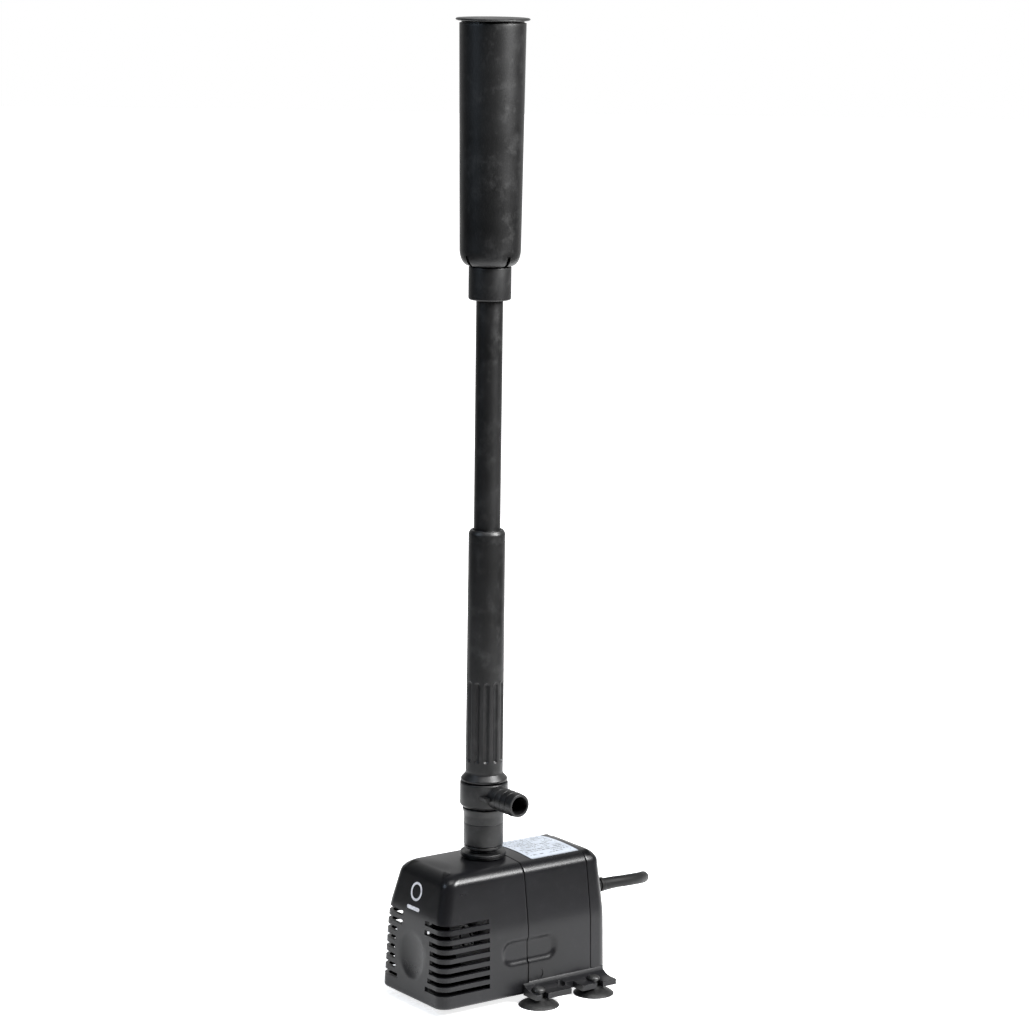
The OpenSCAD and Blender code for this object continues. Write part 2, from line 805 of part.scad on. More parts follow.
module nozzle_sleeve() {
    slot_w = 2.4;
    slot_up = 6.2;
    color(black)
    translate([0, riser_y, sleeve_z])
    difference() {
        rotate_extrude() polygon(concat([[foot_hole_r, 0]], sleeve_side(0),
            [[sleeve_top_d / 2 - 1.2, sleeve_l - 1], [sleeve_top_d / 2 - 1.2, sleeve_l],
             [sleeve_top_d / 2 - sleeve_wall - 1, sleeve_l], [foot_hole_r, sleeve_l]]));
        rotate_extrude() polygon(concat([[0, sleeve_wall]], sleeve_side(sleeve_wall), [[0, sleeve_l + 1]]));
        for (i = [0:3]) {
            rotate([0, 0, i * 90 + 4]) translate([dome_r - 1.8, -slot_w / 2, -1])
                cube([8, slot_w, slot_up + 1]);
        }
    }
}

cap_t = 1.5;
cap_z = sleeve_top_z + slip;

module cap_plate() {
    color(black)
    translate([0, riser_y, 0]) {
        translate([0, 0, cap_z]) cylinder(r1 = cap_d / 2 - 0.8, r2 = cap_d / 2, h = cap_t / 2);
        translate([0, 0, cap_z + cap_t / 2]) cylinder(r1 = cap_d / 2, r2 = cap_d / 2 - 0.8, h = cap_t / 2);
        translate([0, 0, cap_z - 8]) cylinder(r1 = 2.5, r2 = 9, h = 8);
        translate([0, 0, jet_top_z - 22]) cylinder(r = stem_hole_r - slip, h = cap_z - jet_top_z + 22);
    }
}

// ---------- feet ----------

module suction_cup(n) {
    cup_r = cup_d / 2;
    neck_r = cup_neck_d / 2;
    s = n % 2 == 1 ? 1 : -1;
    y = n <= 2 ? cup_front_y : cup_front_y + cup_spacing;
    color(rubber_black)
    translate([s * cup_x, y, 0]) rotate_extrude() polygon([
        [0, 1.6], [cup_r * 0.6, 1.1], [cup_r - 0.6, 0], [cup_r, 0], [cup_r, 0.5],
        [cup_r * 0.8, 2.2], [cup_r * 0.45, lug_z - 1.2], [neck_r + 1, lug_z], [neck_r, lug_z],
        [neck_r, lug_z + lug_t], [neck_r + 1.3, lug_z + lug_t], [neck_r + 1.2, lug_z + lug_t + 1.4],
        [neck_r - 0.2, lug_z + lug_t + 2.6], [0, lug_z + lug_t + 3]]);
}

module suction_cup_1() { suction_cup(1); }
module suction_cup_2() { suction_cup(2); }
module suction_cup_3() { suction_cup(3); }
module suction_cup_4() { suction_cup(4); }

// ---------- cord ----------

gland_end_y = rear_y + gland_out_l;
gland_seat_y = rear_y - wall - rear_in(cord_z + gland_flange_r) - fit;

module cord_gland() {
    color(rubber_black)
    difference() {
        union() {
            along(rear_y - wall - 4, gland_seat_y, gland_flange_r, cord_z);
            along(rear_y - wall - 4, rear_y, cord_hole_r - fit, cord_z);
            translate([0, rear_y - eps, cord_z]) rotate([-90, 0, 0])
                cylinder(r1 = cord_hole_r + 0.4, r2 = cord_d / 2 + 0.6, h = gland_out_l);
        }
        along(seam2_y - 10, gland_end_y + 1, cord_d / 2, cord_z);
    }
}

// The coil of cord: two turns side by side, two more on them, and one in the groove on top.
coil_at = [-101, 73];
coil_mid_r = 39;
tie_t = 0.8;
tie_gap = 0.1;
coil_z = tie_t + tie_gap;
coil_h = (2 + sqrt(3) / 2) * cord_d;

// The cord's route from the resin to the coil: hand-chosen points, straight out, round to the
// left and down to the floor behind the pump. It joins the coil's outer turn.
lead = [
    [0, cord_in_y, cord_z], [0, rear_y, cord_z], [0, gland_end_y, cord_z], [0, 90, 52.9],
    [0, 98, 52.5], [-1.7, 108.5, 51.6], [-6.5, 118, 49.8], [-14, 125.5, 47.2], [-28, 133.2, 41.6],
    [-44, 136.6, 36], [-60, 135.6, 30], [-76, 131, 22.8], [-91, 124.6, 15], [-105, 118.3, 8.4],
    [-118.8, 111.8, 4.6],
];
// The route from the top turn, up and across the coil to the plug.
tail = [
    [-105.8, 111.7, 18.4], [-116.8, 108.7, 19.1], [-126.5, 102.4, 20.9], [-133.7, 94.2, 23.2],
    [-137.6, 85.5, 25.5], [-138.5, 76, 27.6], [-136.5, 66.6, 29.5], [-131.8, 58.4, 30.7],
    [-124.7, 52, 31.2],
];

function unit(v) = v / norm(v);
function way(p, i) = unit(p[min(i + 1, len(p) - 1)] - p[max(i - 1, 0)]);
function ring_at(p, i, r, n) =
    let (t = way(p, i), u = unit(cross(t, [0, 0, 1])), v = cross(u, t))
    [for (k = [0:n - 1]) p[i] + r * cos(k * 360 / n) * u + r * sin(k * 360 / n) * v];

// A closed tube swept along the points p.
module tube(p, r, n = 10) {
    rings = [for (i = [0:len(p) - 1]) each ring_at(p, i, r, n)];
    last = (len(p) - 1) * n;
    faces = concat(
        [[for (k = [0:n - 1]) k]],
        [for (i = [0:len(p) - 2], k = [0:n - 1])
            let (a = i * n + k, b = i * n + (k + 1) % n) [a, a + n, b + n, b]],
        [[for (k = [n - 1:-1:0]) last + k]]);
    polyhedron(rings, faces, convexity = 8);
}

module power_cord() {
    color(rubber_black) tube(lead, cord_d / 2);
}

module cord_tail() {
    color(rubber_black) tube(tail, cord_d / 2);
}

module cord_coil() {
    color(rubber_black)
    translate([coil_at[0], coil_at[1], coil_z]) rotate_extrude() polygon([
        [coil_mid_r - cord_d, 1], [coil_mid_r - cord_d + 1, 0], [coil_mid_r + cord_d - 1, 0],
        [coil_mid_r + cord_d, 1], [coil_mid_r + cord_d, 2 * cord_d - 1], [coil_mid_r + cord_d / 2, coil_h],
        [coil_mid_r - cord_d / 2, coil_h], [coil_mid_r - cord_d, 2 * cord_d - 1]]);
}

module coil_tie() {
    tie_w = 7;
    half = cord_d + 0.3;
    color("#3a3a3e")
    translate([coil_at[0] + coil_mid_r, coil_at[1], coil_z]) rotate([90, 0, 0])
        linear_extrude(tie_w, center = true)
        difference() {
            translate([-half - tie_t, -tie_gap - tie_t]) square([2 * half + 2 * tie_t, coil_h + 2 * coil_z]);
            translate([-half, -tie_gap]) square([2 * half, coil_h + 2 * tie_gap]);
        }
}

// The two-pin plug lies flat on the coil. Its cord comes in along its own X.
plug_at = [-124.7, 52, 31.2];
plug_turn = 327;
plug_w = 37;
plug_t = 17.8;
plug_l = 56;                       // from where the cord enters to the face that the pins stand on
grip_l = 18;                       // the tapered part that the cord enters
pin_d = 4.8;
pin_l = 19;
pin_gap = 19;

module plug_place() {
    translate(plug_at) rotate([0, 0, plug_turn]) children();
}

module plug_body() {
    half = plug_w / 2;
    color(dark)
    plug_place() difference() {
        union() {
            rotate([0, 90, 0]) cylinder(r1 = cord_d / 2 + 0.8, r2 = 6.5, h = grip_l);
            translate([grip_l - 2, 0, -plug_t / 2]) linear_extrude(plug_t) polygon([
                [0, -7], [5, -8], [10, -12], [14, half * -0.85], [19, -half], [plug_l - grip_l, -half],
                [plug_l - grip_l + 2, 2 - half], [plug_l - grip_l + 2, half - 2], [plug_l - grip_l, half],
                [19, half], [14, half * 0.85], [10, 12], [5, 8], [0, 7]]);
        }
        translate([-1, 0, 0]) rotate([0, 90, 0]) cylinder(r = cord_d / 2, h = 9);
    }
}

module plug_pins() {
    color("#c9c9c4")
    plug_place() for (s = [-1, 1]) {
        translate([plug_l, s * pin_gap / 2, 0]) rotate([0, 90, 0]) cylinder(d = pin_d, h = pin_l);
    }
}

front_cover();
motor_housing();
rear_cover();
rating_label();
chamber_cover();
chamber_seal();
rotor_well();
impeller();
rotor_magnet();
rotor_shaft();
front_bush();
rear_bush();
stator_core();
coil_bobbins();
stator_windings();
resin_fill();
outlet_adapter();
outlet_seal();
valve_body();
diverter_ring();
lower_riser();
riser_o_ring();
upper_riser();
nozzle_hub();
jet_tube();
nozzle_sleeve();
cap_plate();
suction_cup_1();
suction_cup_2();
suction_cup_3();
suction_cup_4();
cord_gland();
power_cord();
cord_coil();
cord_tail();
coil_tie();
plug_body();
plug_pins();
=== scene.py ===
"""A small submersible fountain pump: black moulded casing on suction cups, a side hose outlet,
a telescopic riser and a bell nozzle. Lengths are in metres, made from millimetres with MM."""

import json
from math import cos, pi, radians, sin, sqrt, tan

import bmesh
import bpy
import numpy as np
from mathutils import Matrix, Vector


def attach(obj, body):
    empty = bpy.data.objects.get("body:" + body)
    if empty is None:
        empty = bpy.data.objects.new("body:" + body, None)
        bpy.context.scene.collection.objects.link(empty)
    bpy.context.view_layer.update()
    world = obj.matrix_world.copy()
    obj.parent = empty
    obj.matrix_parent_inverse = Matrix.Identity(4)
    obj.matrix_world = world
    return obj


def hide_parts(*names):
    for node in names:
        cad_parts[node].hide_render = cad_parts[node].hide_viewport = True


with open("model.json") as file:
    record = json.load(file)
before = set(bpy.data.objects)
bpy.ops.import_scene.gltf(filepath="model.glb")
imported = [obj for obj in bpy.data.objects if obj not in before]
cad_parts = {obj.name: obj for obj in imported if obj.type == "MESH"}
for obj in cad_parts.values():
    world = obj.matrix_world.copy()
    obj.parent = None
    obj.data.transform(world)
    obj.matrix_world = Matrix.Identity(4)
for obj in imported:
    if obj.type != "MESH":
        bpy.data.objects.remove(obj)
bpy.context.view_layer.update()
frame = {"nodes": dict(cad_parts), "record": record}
MM = 0.001
RISER_AT = -9.5            # the Y that the riser stands on, in millimetres
RISER_Y = RISER_AT * MM

# ---------------------------------------------------------------- camera

AZIMUTH = radians(54.109)
ELEVATION = radians(10.444)
ROLL = radians(0.761)
DISTANCE = 2.0633
AIM = Vector((0, RISER_Y, 0.2974))
SIDE_STEP = 0.01633        # the riser stands a little left of the middle of the view
LENS = 120.74


def add_camera():
    """The camera: turned about Z by AZIMUTH, raised by ELEVATION, rolled by ROLL."""
    back = Vector((sin(AZIMUTH) * cos(ELEVATION), -cos(AZIMUTH) * cos(ELEVATION), sin(ELEVATION)))
    right = (-back).cross(Vector((0, 0, 1))).normalized()
    up = right.cross(-back)
    x = right * cos(ROLL) + up * sin(ROLL)
    y = up * cos(ROLL) - right * sin(ROLL)
    data = bpy.data.cameras.new("camera")
    data.lens = LENS
    data.sensor_width = 36
    data.sensor_fit = "HORIZONTAL"
    data.clip_end = 20
    camera = bpy.data.objects.new("camera", data)
    turn = Matrix((x, y, back)).transposed().to_4x4()
    camera.matrix_world = Matrix.Translation(AIM + back * DISTANCE + x * SIDE_STEP) @ turn
    bpy.context.collection.objects.link(camera)
    bpy.context.scene.camera = camera


add_camera()

# ---------------------------------------------------------------- materials


class Shader:
    """A material being built: nodes are added by type and joined by socket names."""

    def __init__(self, name):
        self.material = bpy.data.materials.new(name)
        self.material.use_nodes = True
        self.tree = self.material.node_tree
        self.skin = self.tree.nodes["Principled BSDF"]
        self.place = self.add("ShaderNodeTexCoord").outputs["Object"]

    def add(self, kind, **values):
        """A node; values set its sockets by name, or its settings in lower case."""
        node = self.tree.nodes.new(kind)
        for key, value in values.items():
            if key in node.inputs:
                self.put(node.inputs[key], value)
            else:
                setattr(node, key, value)
        return node

    def put(self, socket, value):
        """Joins an output to a socket, or sets the socket's own value."""
        if isinstance(value, bpy.types.NodeSocket):
            self.tree.links.new(value, socket)
        else:
            socket.default_value = value

    def noise(self, scale, detail=3.0, rough=0.55, stretch=None):
        """Noise on object coordinates, squeezed along each axis by stretch."""
        where = self.place
        if stretch:
            where = self.add("ShaderNodeMapping", Vector=where, Scale=stretch).outputs[0]
        node = self.add("ShaderNodeTexNoise", Vector=where, Scale=scale, Detail=detail, Roughness=rough)
        return node.outputs["Fac"]

    def ramp(self, value, low, high, start=0.0, end=1.0):
        """Maps value from low..high to start..end, held at both ends."""
        node = self.add("ShaderNodeMapRange", Value=value)
        for key, number in zip(("From Min", "From Max", "To Min", "To Max"), (low, high, start, end)):
            node.inputs[key].default_value = number
        return node.outputs["Result"]

    def math(self, operation, a, b=0.0):
        """One arithmetic step on two values."""
        node = self.add("ShaderNodeMath", operation=operation)
        self.put(node.inputs[0], a)
        self.put(node.inputs[1], b)
        return node.outputs[0]

    def blend(self, share, a, b):
        """The colour a, turning to b by share."""
        node = self.add("ShaderNodeMix", data_type="RGBA")
        self.put(node.inputs[0], share)
        self.put(node.inputs[6], a)
        self.put(node.inputs[7], b)
        return node.outputs[2]

    def finish(self, color, rough, metal=0.0, bump=None, depth=0.0002, **more):
        """Sets the surface, with an optional height for the bump."""
        self.put(self.skin.inputs["Base Color"], color)
        self.put(self.skin.inputs["Roughness"], rough)
        self.put(self.skin.inputs["Metallic"], metal)
        for key, value in more.items():
            self.put(self.skin.inputs[key.replace("_", " ")], value)
        if bump is not None:
            node = self.add("ShaderNodeBump", Height=bump, Distance=depth, Strength=1.0)
            self.put(self.skin.inputs["Normal"], node.outputs[0])
        return self.material


def grey(value, blue=1.0):
    """A neutral colour, slightly blue where blue is over 1."""
    return (value, value, value * blue, 1)


def moulded(name, tone, rough, grain=2600, depth=0.00003, gloss=0.5, haze=0.08):
    """Black moulded plastic: fine spark-eroded grain, cloudy gloss, and a trace of dust."""
    s = Shader(name)
    cloud = s.noise(28, 4)
    fine = s.noise(grain, 2, 0.6)
    pores = s.noise(620, 3)
    dust = s.ramp(s.noise(90, 6, 0.7), 0.52, 0.78)
    shade = s.blend(s.ramp(cloud, 0.35, 0.7), grey(tone * 0.82, 1.04), grey(tone * 1.2, 1.06))
    dusty = s.blend(s.math("MULTIPLY", dust, 0.05), shade, grey(0.35))
    gloss_map = s.math("ADD", s.ramp(cloud, 0.3, 0.7, rough - haze, rough + haze),
                       s.math("MULTIPLY", dust, 0.12))
    height = s.math("ADD", fine, s.math("MULTIPLY", pores, 0.8))
    return s.finish(dusty, gloss_map, bump=height, depth=depth, Specular_IOR_Level=gloss)


def rubber(name, tone, rough=0.62, depth=0.00006, bloom=0.06, gloss=0.5):
    """Black rubber: soft, with a bloom of paler dust and a fine orange peel."""
    s = Shader(name)
    cloud = s.noise(60, 5, 0.65)
    shade = s.blend(s.math("MULTIPLY", s.ramp(cloud, 0.45, 0.8), bloom), grey(tone), grey(0.3))
    height = s.math("ADD", s.noise(1500, 2), s.math("MULTIPLY", s.noise(240, 3), 1.5))
    return s.finish(shade, s.ramp(cloud, 0.3, 0.75, rough - 0.1, rough + 0.12), bump=height, depth=depth,
                    Specular_IOR_Level=gloss)


def metal(name, color, rough, scratch=(30, 900, 900), depth=0.00002):
    """Metal with fine scratches along one direction and slight stains."""
    s = Shader(name)
    lines = s.noise(1, 3, 0.6, stretch=scratch)
    stain = s.noise(45, 5)
    shade = s.blend(s.ramp(stain, 0.4, 0.75, 0, 0.5), color, tuple(c * 0.6 for c in color[:3]) + (1,))
    return s.finish(shade, s.ramp(lines, 0.3, 0.7, rough - 0.08, rough + 0.12), 1.0, lines, depth)


def laminations():
    """Stacked steel sheets: thin dark gaps across the length of the body."""
    s = Shader("laminations")
    sheets = s.add("ShaderNodeTexWave", Vector=s.place, Scale=320, Distortion=0.4,
                   bands_direction="Y").outputs["Fac"]
    shade = s.blend(s.ramp(sheets, 0.1, 0.5), grey(0.1), grey(0.42))
    return s.finish(shade, s.ramp(s.noise(200), 0.3, 0.7, 0.35, 0.55), 0.9, sheets, 0.0001)


def windings():
    """Enamelled copper wire, wound in level rows."""
    s = Shader("windings")
    rows = s.add("ShaderNodeTexWave", Vector=s.place, Scale=450, Distortion=0.8,
                 bands_direction="Z").outputs["Fac"]
    shade = s.blend(s.ramp(rows, 0.1, 0.6), (0.12, 0.03, 0.01, 1), (0.62, 0.24, 0.08, 1))
    return s.finish(shade, 0.32, 0.8, rows, 0.00015)


def casing_plastic():
    """The casing's satin ABS: a soft sheen, faint flow marks along it and a fine grain."""
    s = Shader("casing_plastic")
    cloud = s.noise(16, 4)
    flow = s.noise(1, 3, 0.5, stretch=(30, 8, 55))
    fine = s.noise(3200, 2, 0.6)
    dust = s.ramp(s.noise(130, 7, 0.75), 0.56, 0.8)
    shade = s.blend(s.ramp(cloud, 0.3, 0.7), grey(0.004, 1.1), grey(0.006, 1.2))
    dusty = s.blend(s.math("MULTIPLY", dust, 0.012), shade, grey(0.4))
    gloss = s.math("ADD", s.ramp(flow, 0.3, 0.7, 0.27, 0.33), s.math("MULTIPLY", dust, 0.05))
    return s.finish(dusty, gloss, bump=fine, depth=0.00001, Specular_IOR_Level=0.25)


LABEL_HALF = 20 * MM       # half of the label's width
LABEL_Y = (12.5, 48)       # where the label starts and ends, in millimetres
PRINT_HALF = 15.8 * MM     # half of the printed field's length


def label_film():
    """Silver film with rows of tiny illegible print and a dark strip at each side."""
    s = Shader("label_film")
    split = s.add("ShaderNodeSeparateXYZ", Vector=s.place)
    x, y = split.outputs[0], split.outputs[1]
    middle = sum(LABEL_Y) / 2 * MM
    row = s.add("ShaderNodeTexWave", Vector=s.place, Scale=115, bands_direction="X").outputs["Fac"]
    words = s.noise(1, 2, 0.7, stretch=(500, 900, 1))
    gaps = s.noise(1, 1, 0.5, stretch=(200, 130, 1))
    ink = s.math("MULTIPLY", s.ramp(row, 0.45, 0.55), s.ramp(words, 0.47, 0.5))
    ink = s.math("MULTIPLY", ink, s.ramp(gaps, 0.44, 0.46))
    inside = s.math("MULTIPLY", s.math("LESS_THAN", s.math("ABSOLUTE", x), LABEL_HALF * 0.86),
                    s.math("LESS_THAN", s.math("ABSOLUTE", s.math("SUBTRACT", y, middle)), PRINT_HALF))
    ink = s.math("MULTIPLY", ink, inside)
    edge = s.math("GREATER_THAN", s.math("ABSOLUTE", x), LABEL_HALF * 0.93)
    mark = s.math("MAXIMUM", ink, s.math("MULTIPLY", edge, 0.35))
    cloud = s.noise(70, 4)
    film = s.blend(s.ramp(cloud, 0.3, 0.7), (0.36, 0.4, 0.46, 1), (0.5, 0.54, 0.6, 1))
    shade = s.blend(s.math("MULTIPLY", mark, 0.85), film, grey(0.04))
    return s.finish(shade, s.ramp(cloud, 0.3, 0.7, 0.28, 0.42), 0.25, s.noise(900), 0.00002)


def tie_weave():
    """Woven nylon strap."""
    s = Shader("tie_weave")
    a = s.add("ShaderNodeTexWave", Vector=s.place, Scale=500, bands_direction="Y").outputs["Fac"]
    b = s.add("ShaderNodeTexWave", Vector=s.place, Scale=500, bands_direction="Z").outputs["Fac"]
    weave = s.math("MULTIPLY", a, b)
    return s.finish(s.blend(weave, grey(0.02), grey(0.07)), 0.75, bump=weave, depth=0.0002)


CASING = casing_plastic()
RISER = moulded("riser_plastic", 0.004, 0.43, gloss=0.42)
TUBE = moulded("tube_plastic", 0.004, 0.43, grain=1900, depth=0.00003, gloss=0.42)
NOZZLE = moulded("nozzle_plastic", 0.004, 0.43, grain=1600, depth=0.00004, gloss=0.45)
INNER = moulded("inner_plastic", 0.022, 0.5)
CORD_RUBBER = rubber("cord_rubber", 0.004, 0.55, bloom=0.005, gloss=0.18)
CUP_RUBBER = rubber("cup_rubber", 0.008, 0.42, bloom=0.03)
MATERIALS = {
    "casing": CASING,
    "label": label_film(),
    "inner_plastic": INNER,
    "impeller_plastic": moulded("impeller_plastic", 0.05, 0.45),
    "magnet": moulded("magnet_ferrite", 0.06, 0.4, grain=1200, depth=0.00008),
    "shaft_ceramic": moulded("shaft_ceramic", 0.75, 0.2, depth=0.00001),
    "seal_rubber": rubber("seal_rubber", 0.015),
    "lamination_steel": laminations(),
    "bobbin_plastic": moulded("bobbin_nylon", 0.5, 0.45),
    "winding_wire": windings(),
    "potting_resin": moulded("potting_resin", 0.03, 0.22, grain=400, depth=0.0002),
    "riser_plastic": RISER,
    "tube_plastic": TUBE,
    "nozzle_plastic": NOZZLE,
    "cup_rubber": CUP_RUBBER,
    "cord_rubber": CORD_RUBBER,
    "tie_plastic": tie_weave(),
    "plug_rubber": rubber("plug_rubber", 0.022, 0.5),
    "pin_brass": metal("pin_metal", (0.72, 0.7, 0.66, 1), 0.25),
}

# ---------------------------------------------------------------- meshes


def node_body(node):
    """The body that a CAD node belongs to."""
    for body, nodes in frame["record"]["behaviour"]["bodies"].items():
        if node in nodes:
            return body
    raise ValueError(node)


SLOT_OF = {part["node"]: part["material_slot"] for part in frame["record"]["subparts"]}


def add_piece(name, verts, faces, material, sharp=35):
    """A mesh object from metres, smooth but for edges sharper than the angle."""
    mesh = bpy.data.meshes.new(name)
    mesh.from_pydata([tuple(v) for v in np.asarray(verts, float)], [], [tuple(f) for f in faces])
    mesh.update()
    mesh.shade_smooth()
    mesh.set_sharp_from_angle(angle=radians(sharp))
    mesh.materials.append(material)
    obj = bpy.data.objects.new(name, mesh)
    bpy.context.collection.objects.link(obj)
    return obj


def stand_for(obj, *nodes):
    """The piece replaces CAD nodes and rides their body."""
    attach(obj, node_body(nodes[0]))
    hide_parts(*nodes)
    return obj


def quads(rows, columns, wrap=False, start=0):
    """Faces of a grid whose points run row by row; wrap joins the last column to the first."""
    i = np.arange(rows - 1)[:, None] * columns
    j = np.arange(columns if wrap else columns - 1)[None, :]
    k = (j + 1) % columns
    return (start + np.stack([i + j, i + k, i + k + columns, i + j + columns], -1)).reshape(-1, 4)


def rounded(points, radius=0.35, steps=4):
    """A closed profile with its corners rounded: each corner becomes a short curve that starts and
    ends at most the radius, or 45% of a side, from it. A corner on the axis stays."""
    out = []
    n = len(points)
    for i, p in enumerate(points):
        p = np.array(p, float)
        r = radius
        if len(p) == 3:
            r, p = p[2], p[:2]
        a = np.array(points[i - 1][:2], float) - p
        b = np.array(points[(i + 1) % n][:2], float) - p
        la, lb = np.linalg.norm(a), np.linalg.norm(b)
        if p[0] < 1e-6 or r <= 0 or min(la, lb) < 1e-6:
            out.append(tuple(p))
            continue
        d = min(r, 0.45 * la, 0.45 * lb)
        a, b = p + a / la * d, p + b / lb * d
        for t in np.linspace(0, 1, steps + 1):
            out.append(tuple((1 - t) ** 2 * a + 2 * t * (1 - t) * p + t * t * b))
    return out


def lathe(profile, turns=128, closed=True):
    """Points and faces of a profile of (radius, height) in millimetres, turned about Z."""
    p = np.array(profile, float) * MM
    angle = np.arange(turns) * 2 * pi / turns
    ring = np.stack([np.cos(angle), np.sin(angle)], -1)
    verts = np.concatenate([p[:, None, 0:1] * ring[None], np.repeat(p[:, None, 1:2], turns, 1)], -1)
    faces = quads(len(p), turns, True)
    if closed:
        last = (len(p) - 1) * turns
        j = np.arange(turns)
        lid = np.stack([last + j, last + (j + 1) % turns, (j + 1) % turns, j], -1)
        faces = np.concatenate([faces, lid])
    return verts.reshape(-1, 3), faces


def tidy(obj):
    """Merges doubled points, such as those on an axis, and turns all faces outwards."""
    work = bmesh.new()
    work.from_mesh(obj.data)
    bmesh.ops.remove_doubles(work, verts=work.verts, dist=1e-6)
    bmesh.ops.dissolve_degenerate(work, edges=work.edges, dist=1e-7)
    bmesh.ops.recalc_face_normals(work, faces=work.faces)
    work.to_mesh(obj.data)
    work.free()
    obj.data.shade_smooth()
    obj.data.set_sharp_from_angle(angle=radians(35))
    return obj


def turned(name, profile, material, at=(0, RISER_Y, 0), axis="Z", turns=128):
    """A turned piece: the profile about an axis through a point."""
    verts, faces = lathe(profile, turns)
    if axis == "X":
        verts = verts[:, [2, 0, 1]]
    if axis == "Y":
        verts = verts[:, [1, 2, 0]]
    return tidy(add_piece(name, verts + np.array(at), faces, material))


def cut(obj, tool, how="DIFFERENCE"):
    """Cuts a piece with a tool, or joins the two, at once."""
    step = obj.modifiers.new("cut", "BOOLEAN")
    step.object = tool
    step.operation = how
    step.solver = "EXACT"
    bake(obj)
    bpy.data.objects.remove(tool)
    return obj


def bake(obj):
    """Puts the effect of a piece's modifiers into its mesh."""
    seen = obj.evaluated_get(bpy.context.evaluated_depsgraph_get())
    mesh = bpy.data.meshes.new_from_object(seen)
    obj.modifiers.clear()
    obj.data = mesh
    mesh.shade_smooth()
    mesh.set_sharp_from_angle(angle=radians(35))


def block(low, high, turn=0.0, at=(0, 0, 0)):
    """A box from one corner to the other in millimetres, turned about Z and then moved."""
    low, high = np.array(low, float), np.array(high, float)
    corners = np.array([[x, y, z] for x in (0, 1) for y in (0, 1) for z in (0, 1)])
    verts = low + corners * (high - low)
    c, s = cos(turn), sin(turn)
    verts = verts @ np.array([[c, s, 0], [-s, c, 0], [0, 0, 1]]) + np.array(at)
    faces = [(0, 1, 3, 2), (4, 6, 7, 5), (0, 4, 5, 1), (2, 3, 7, 6), (0, 2, 6, 4), (1, 5, 7, 3)]
    return add_piece("tool", verts * MM, faces, INNER)


def rod(r, z0, z1, x=0.0, y=0.0, axis="Z", turns=64):
    """A plain cylinder tool in millimetres."""
    at = {"Z": (x, y, 0), "X": (0, x, y), "Y": (x, 0, y)}[axis]
    return turned("tool", [(0, z0), (r, z0), (r, z1), (0, z1)], INNER, np.array(at) * MM, axis, turns)


def soften(obj, width, steps=2, angle=35):
    """Rounds a piece's sharp edges."""
    step = obj.modifiers.new("edges", "BEVEL")
    step.width = width * MM
    step.segments = steps
    step.limit_method = "ANGLE"
    step.angle_limit = radians(angle)
    step.harden_normals = False
    return obj


# ---------------------------------------------------------------- cord

CORD_D = 7.4
CORD_Z = 53
GLAND_END_Y = 82.5         # where the strain relief ends
COIL_AT = (-101, 73)
COIL_R = 39                # middle of the coil's turns
COIL_Z = 0.9               # the coil lies this high on the floor
REAR_Y = 62.5
LEAD = [
    (0, REAR_Y, CORD_Z), (0, GLAND_END_Y, CORD_Z), (0, 90, 52.9), (0, 98, 52.5), (-1.7, 108.5, 51.6),
    (-6.5, 118, 49.8), (-14, 125.5, 47.2), (-28, 133.2, 41.6), (-44, 136.6, 36), (-60, 135.6, 30),
    (-76, 131, 22.8), (-91, 124.6, 15), (-105, 118.3, 8.4),
]
TAIL = [
    (-105.8, 111.7, 18.4), (-116.8, 108.7, 19.1), (-126.5, 102.4, 20.9), (-133.7, 94.2, 23.2),
    (-137.6, 85.5, 25.5), (-138.5, 76, 27.6), (-136.5, 66.6, 29.5), (-131.8, 58.4, 30.7),
    (-124.7, 52, 31.2),
]


def ease(t):
    """0 to 1 with a smooth start and end."""
    t = np.clip(t, 0, 1)
    return t * t * (3 - 2 * t)


def coil_points():
    """The coil's turns: outer and inner on the floor, inner and outer on them, and one in the
    groove on top. Each turn crosses to the next over a sixth of a turn, the later ones earlier."""
    join = 114.6
    end = 97.0 + 5 * 360
    out, inn = COIL_R + CORD_D / 2, COIL_R - CORD_D / 2
    z1 = COIL_Z + CORD_D / 2
    z2 = z1 + CORD_D
    z3 = z2 + CORD_D * sqrt(3) / 2
    turns = [(out, z1), (inn, z1), (inn, z2), (out, z2), (COIL_R, z3)]
    leave = [300, 270, 240, 180]
    points = []
    for a in np.arange(join, end - 8, 15.0):
        done, part = divmod(a - join, 360)
        k = int(done)
        r, z = turns[k]
        if k < 4:
            w = ease((part - leave[k]) / 60)
            r += (turns[k + 1][0] - r) * w
            z += (turns[k + 1][1] - z) * w
        points.append((COIL_AT[0] + r * cos(radians(a)), COIL_AT[1] + r * sin(radians(a)), z))
    return points


def add_cord():
    """One smooth open curve: the lead, the coil and the tail that runs to the plug."""
    points = LEAD + coil_points() + TAIL
    data = bpy.data.curves.new("cord", "CURVE")
    data.dimensions = "3D"
    data.bevel_depth = CORD_D / 2 * MM
    data.bevel_resolution = 7
    data.resolution_u = 8
    data.use_fill_caps = True
    line = data.splines.new("BEZIER")
    line.bezier_points.add(len(points) - 1)
    for knot, p in zip(line.bezier_points, points):
        knot.co = Vector(p) * MM
        knot.handle_left_type = knot.handle_right_type = "AUTO"
    data.materials.append(CORD_RUBBER)
    obj = bpy.data.objects.new("cord", data)
    bpy.context.collection.objects.link(obj)
    stand_for(obj, "power_cord", "cord_coil", "cord_tail")
    return obj


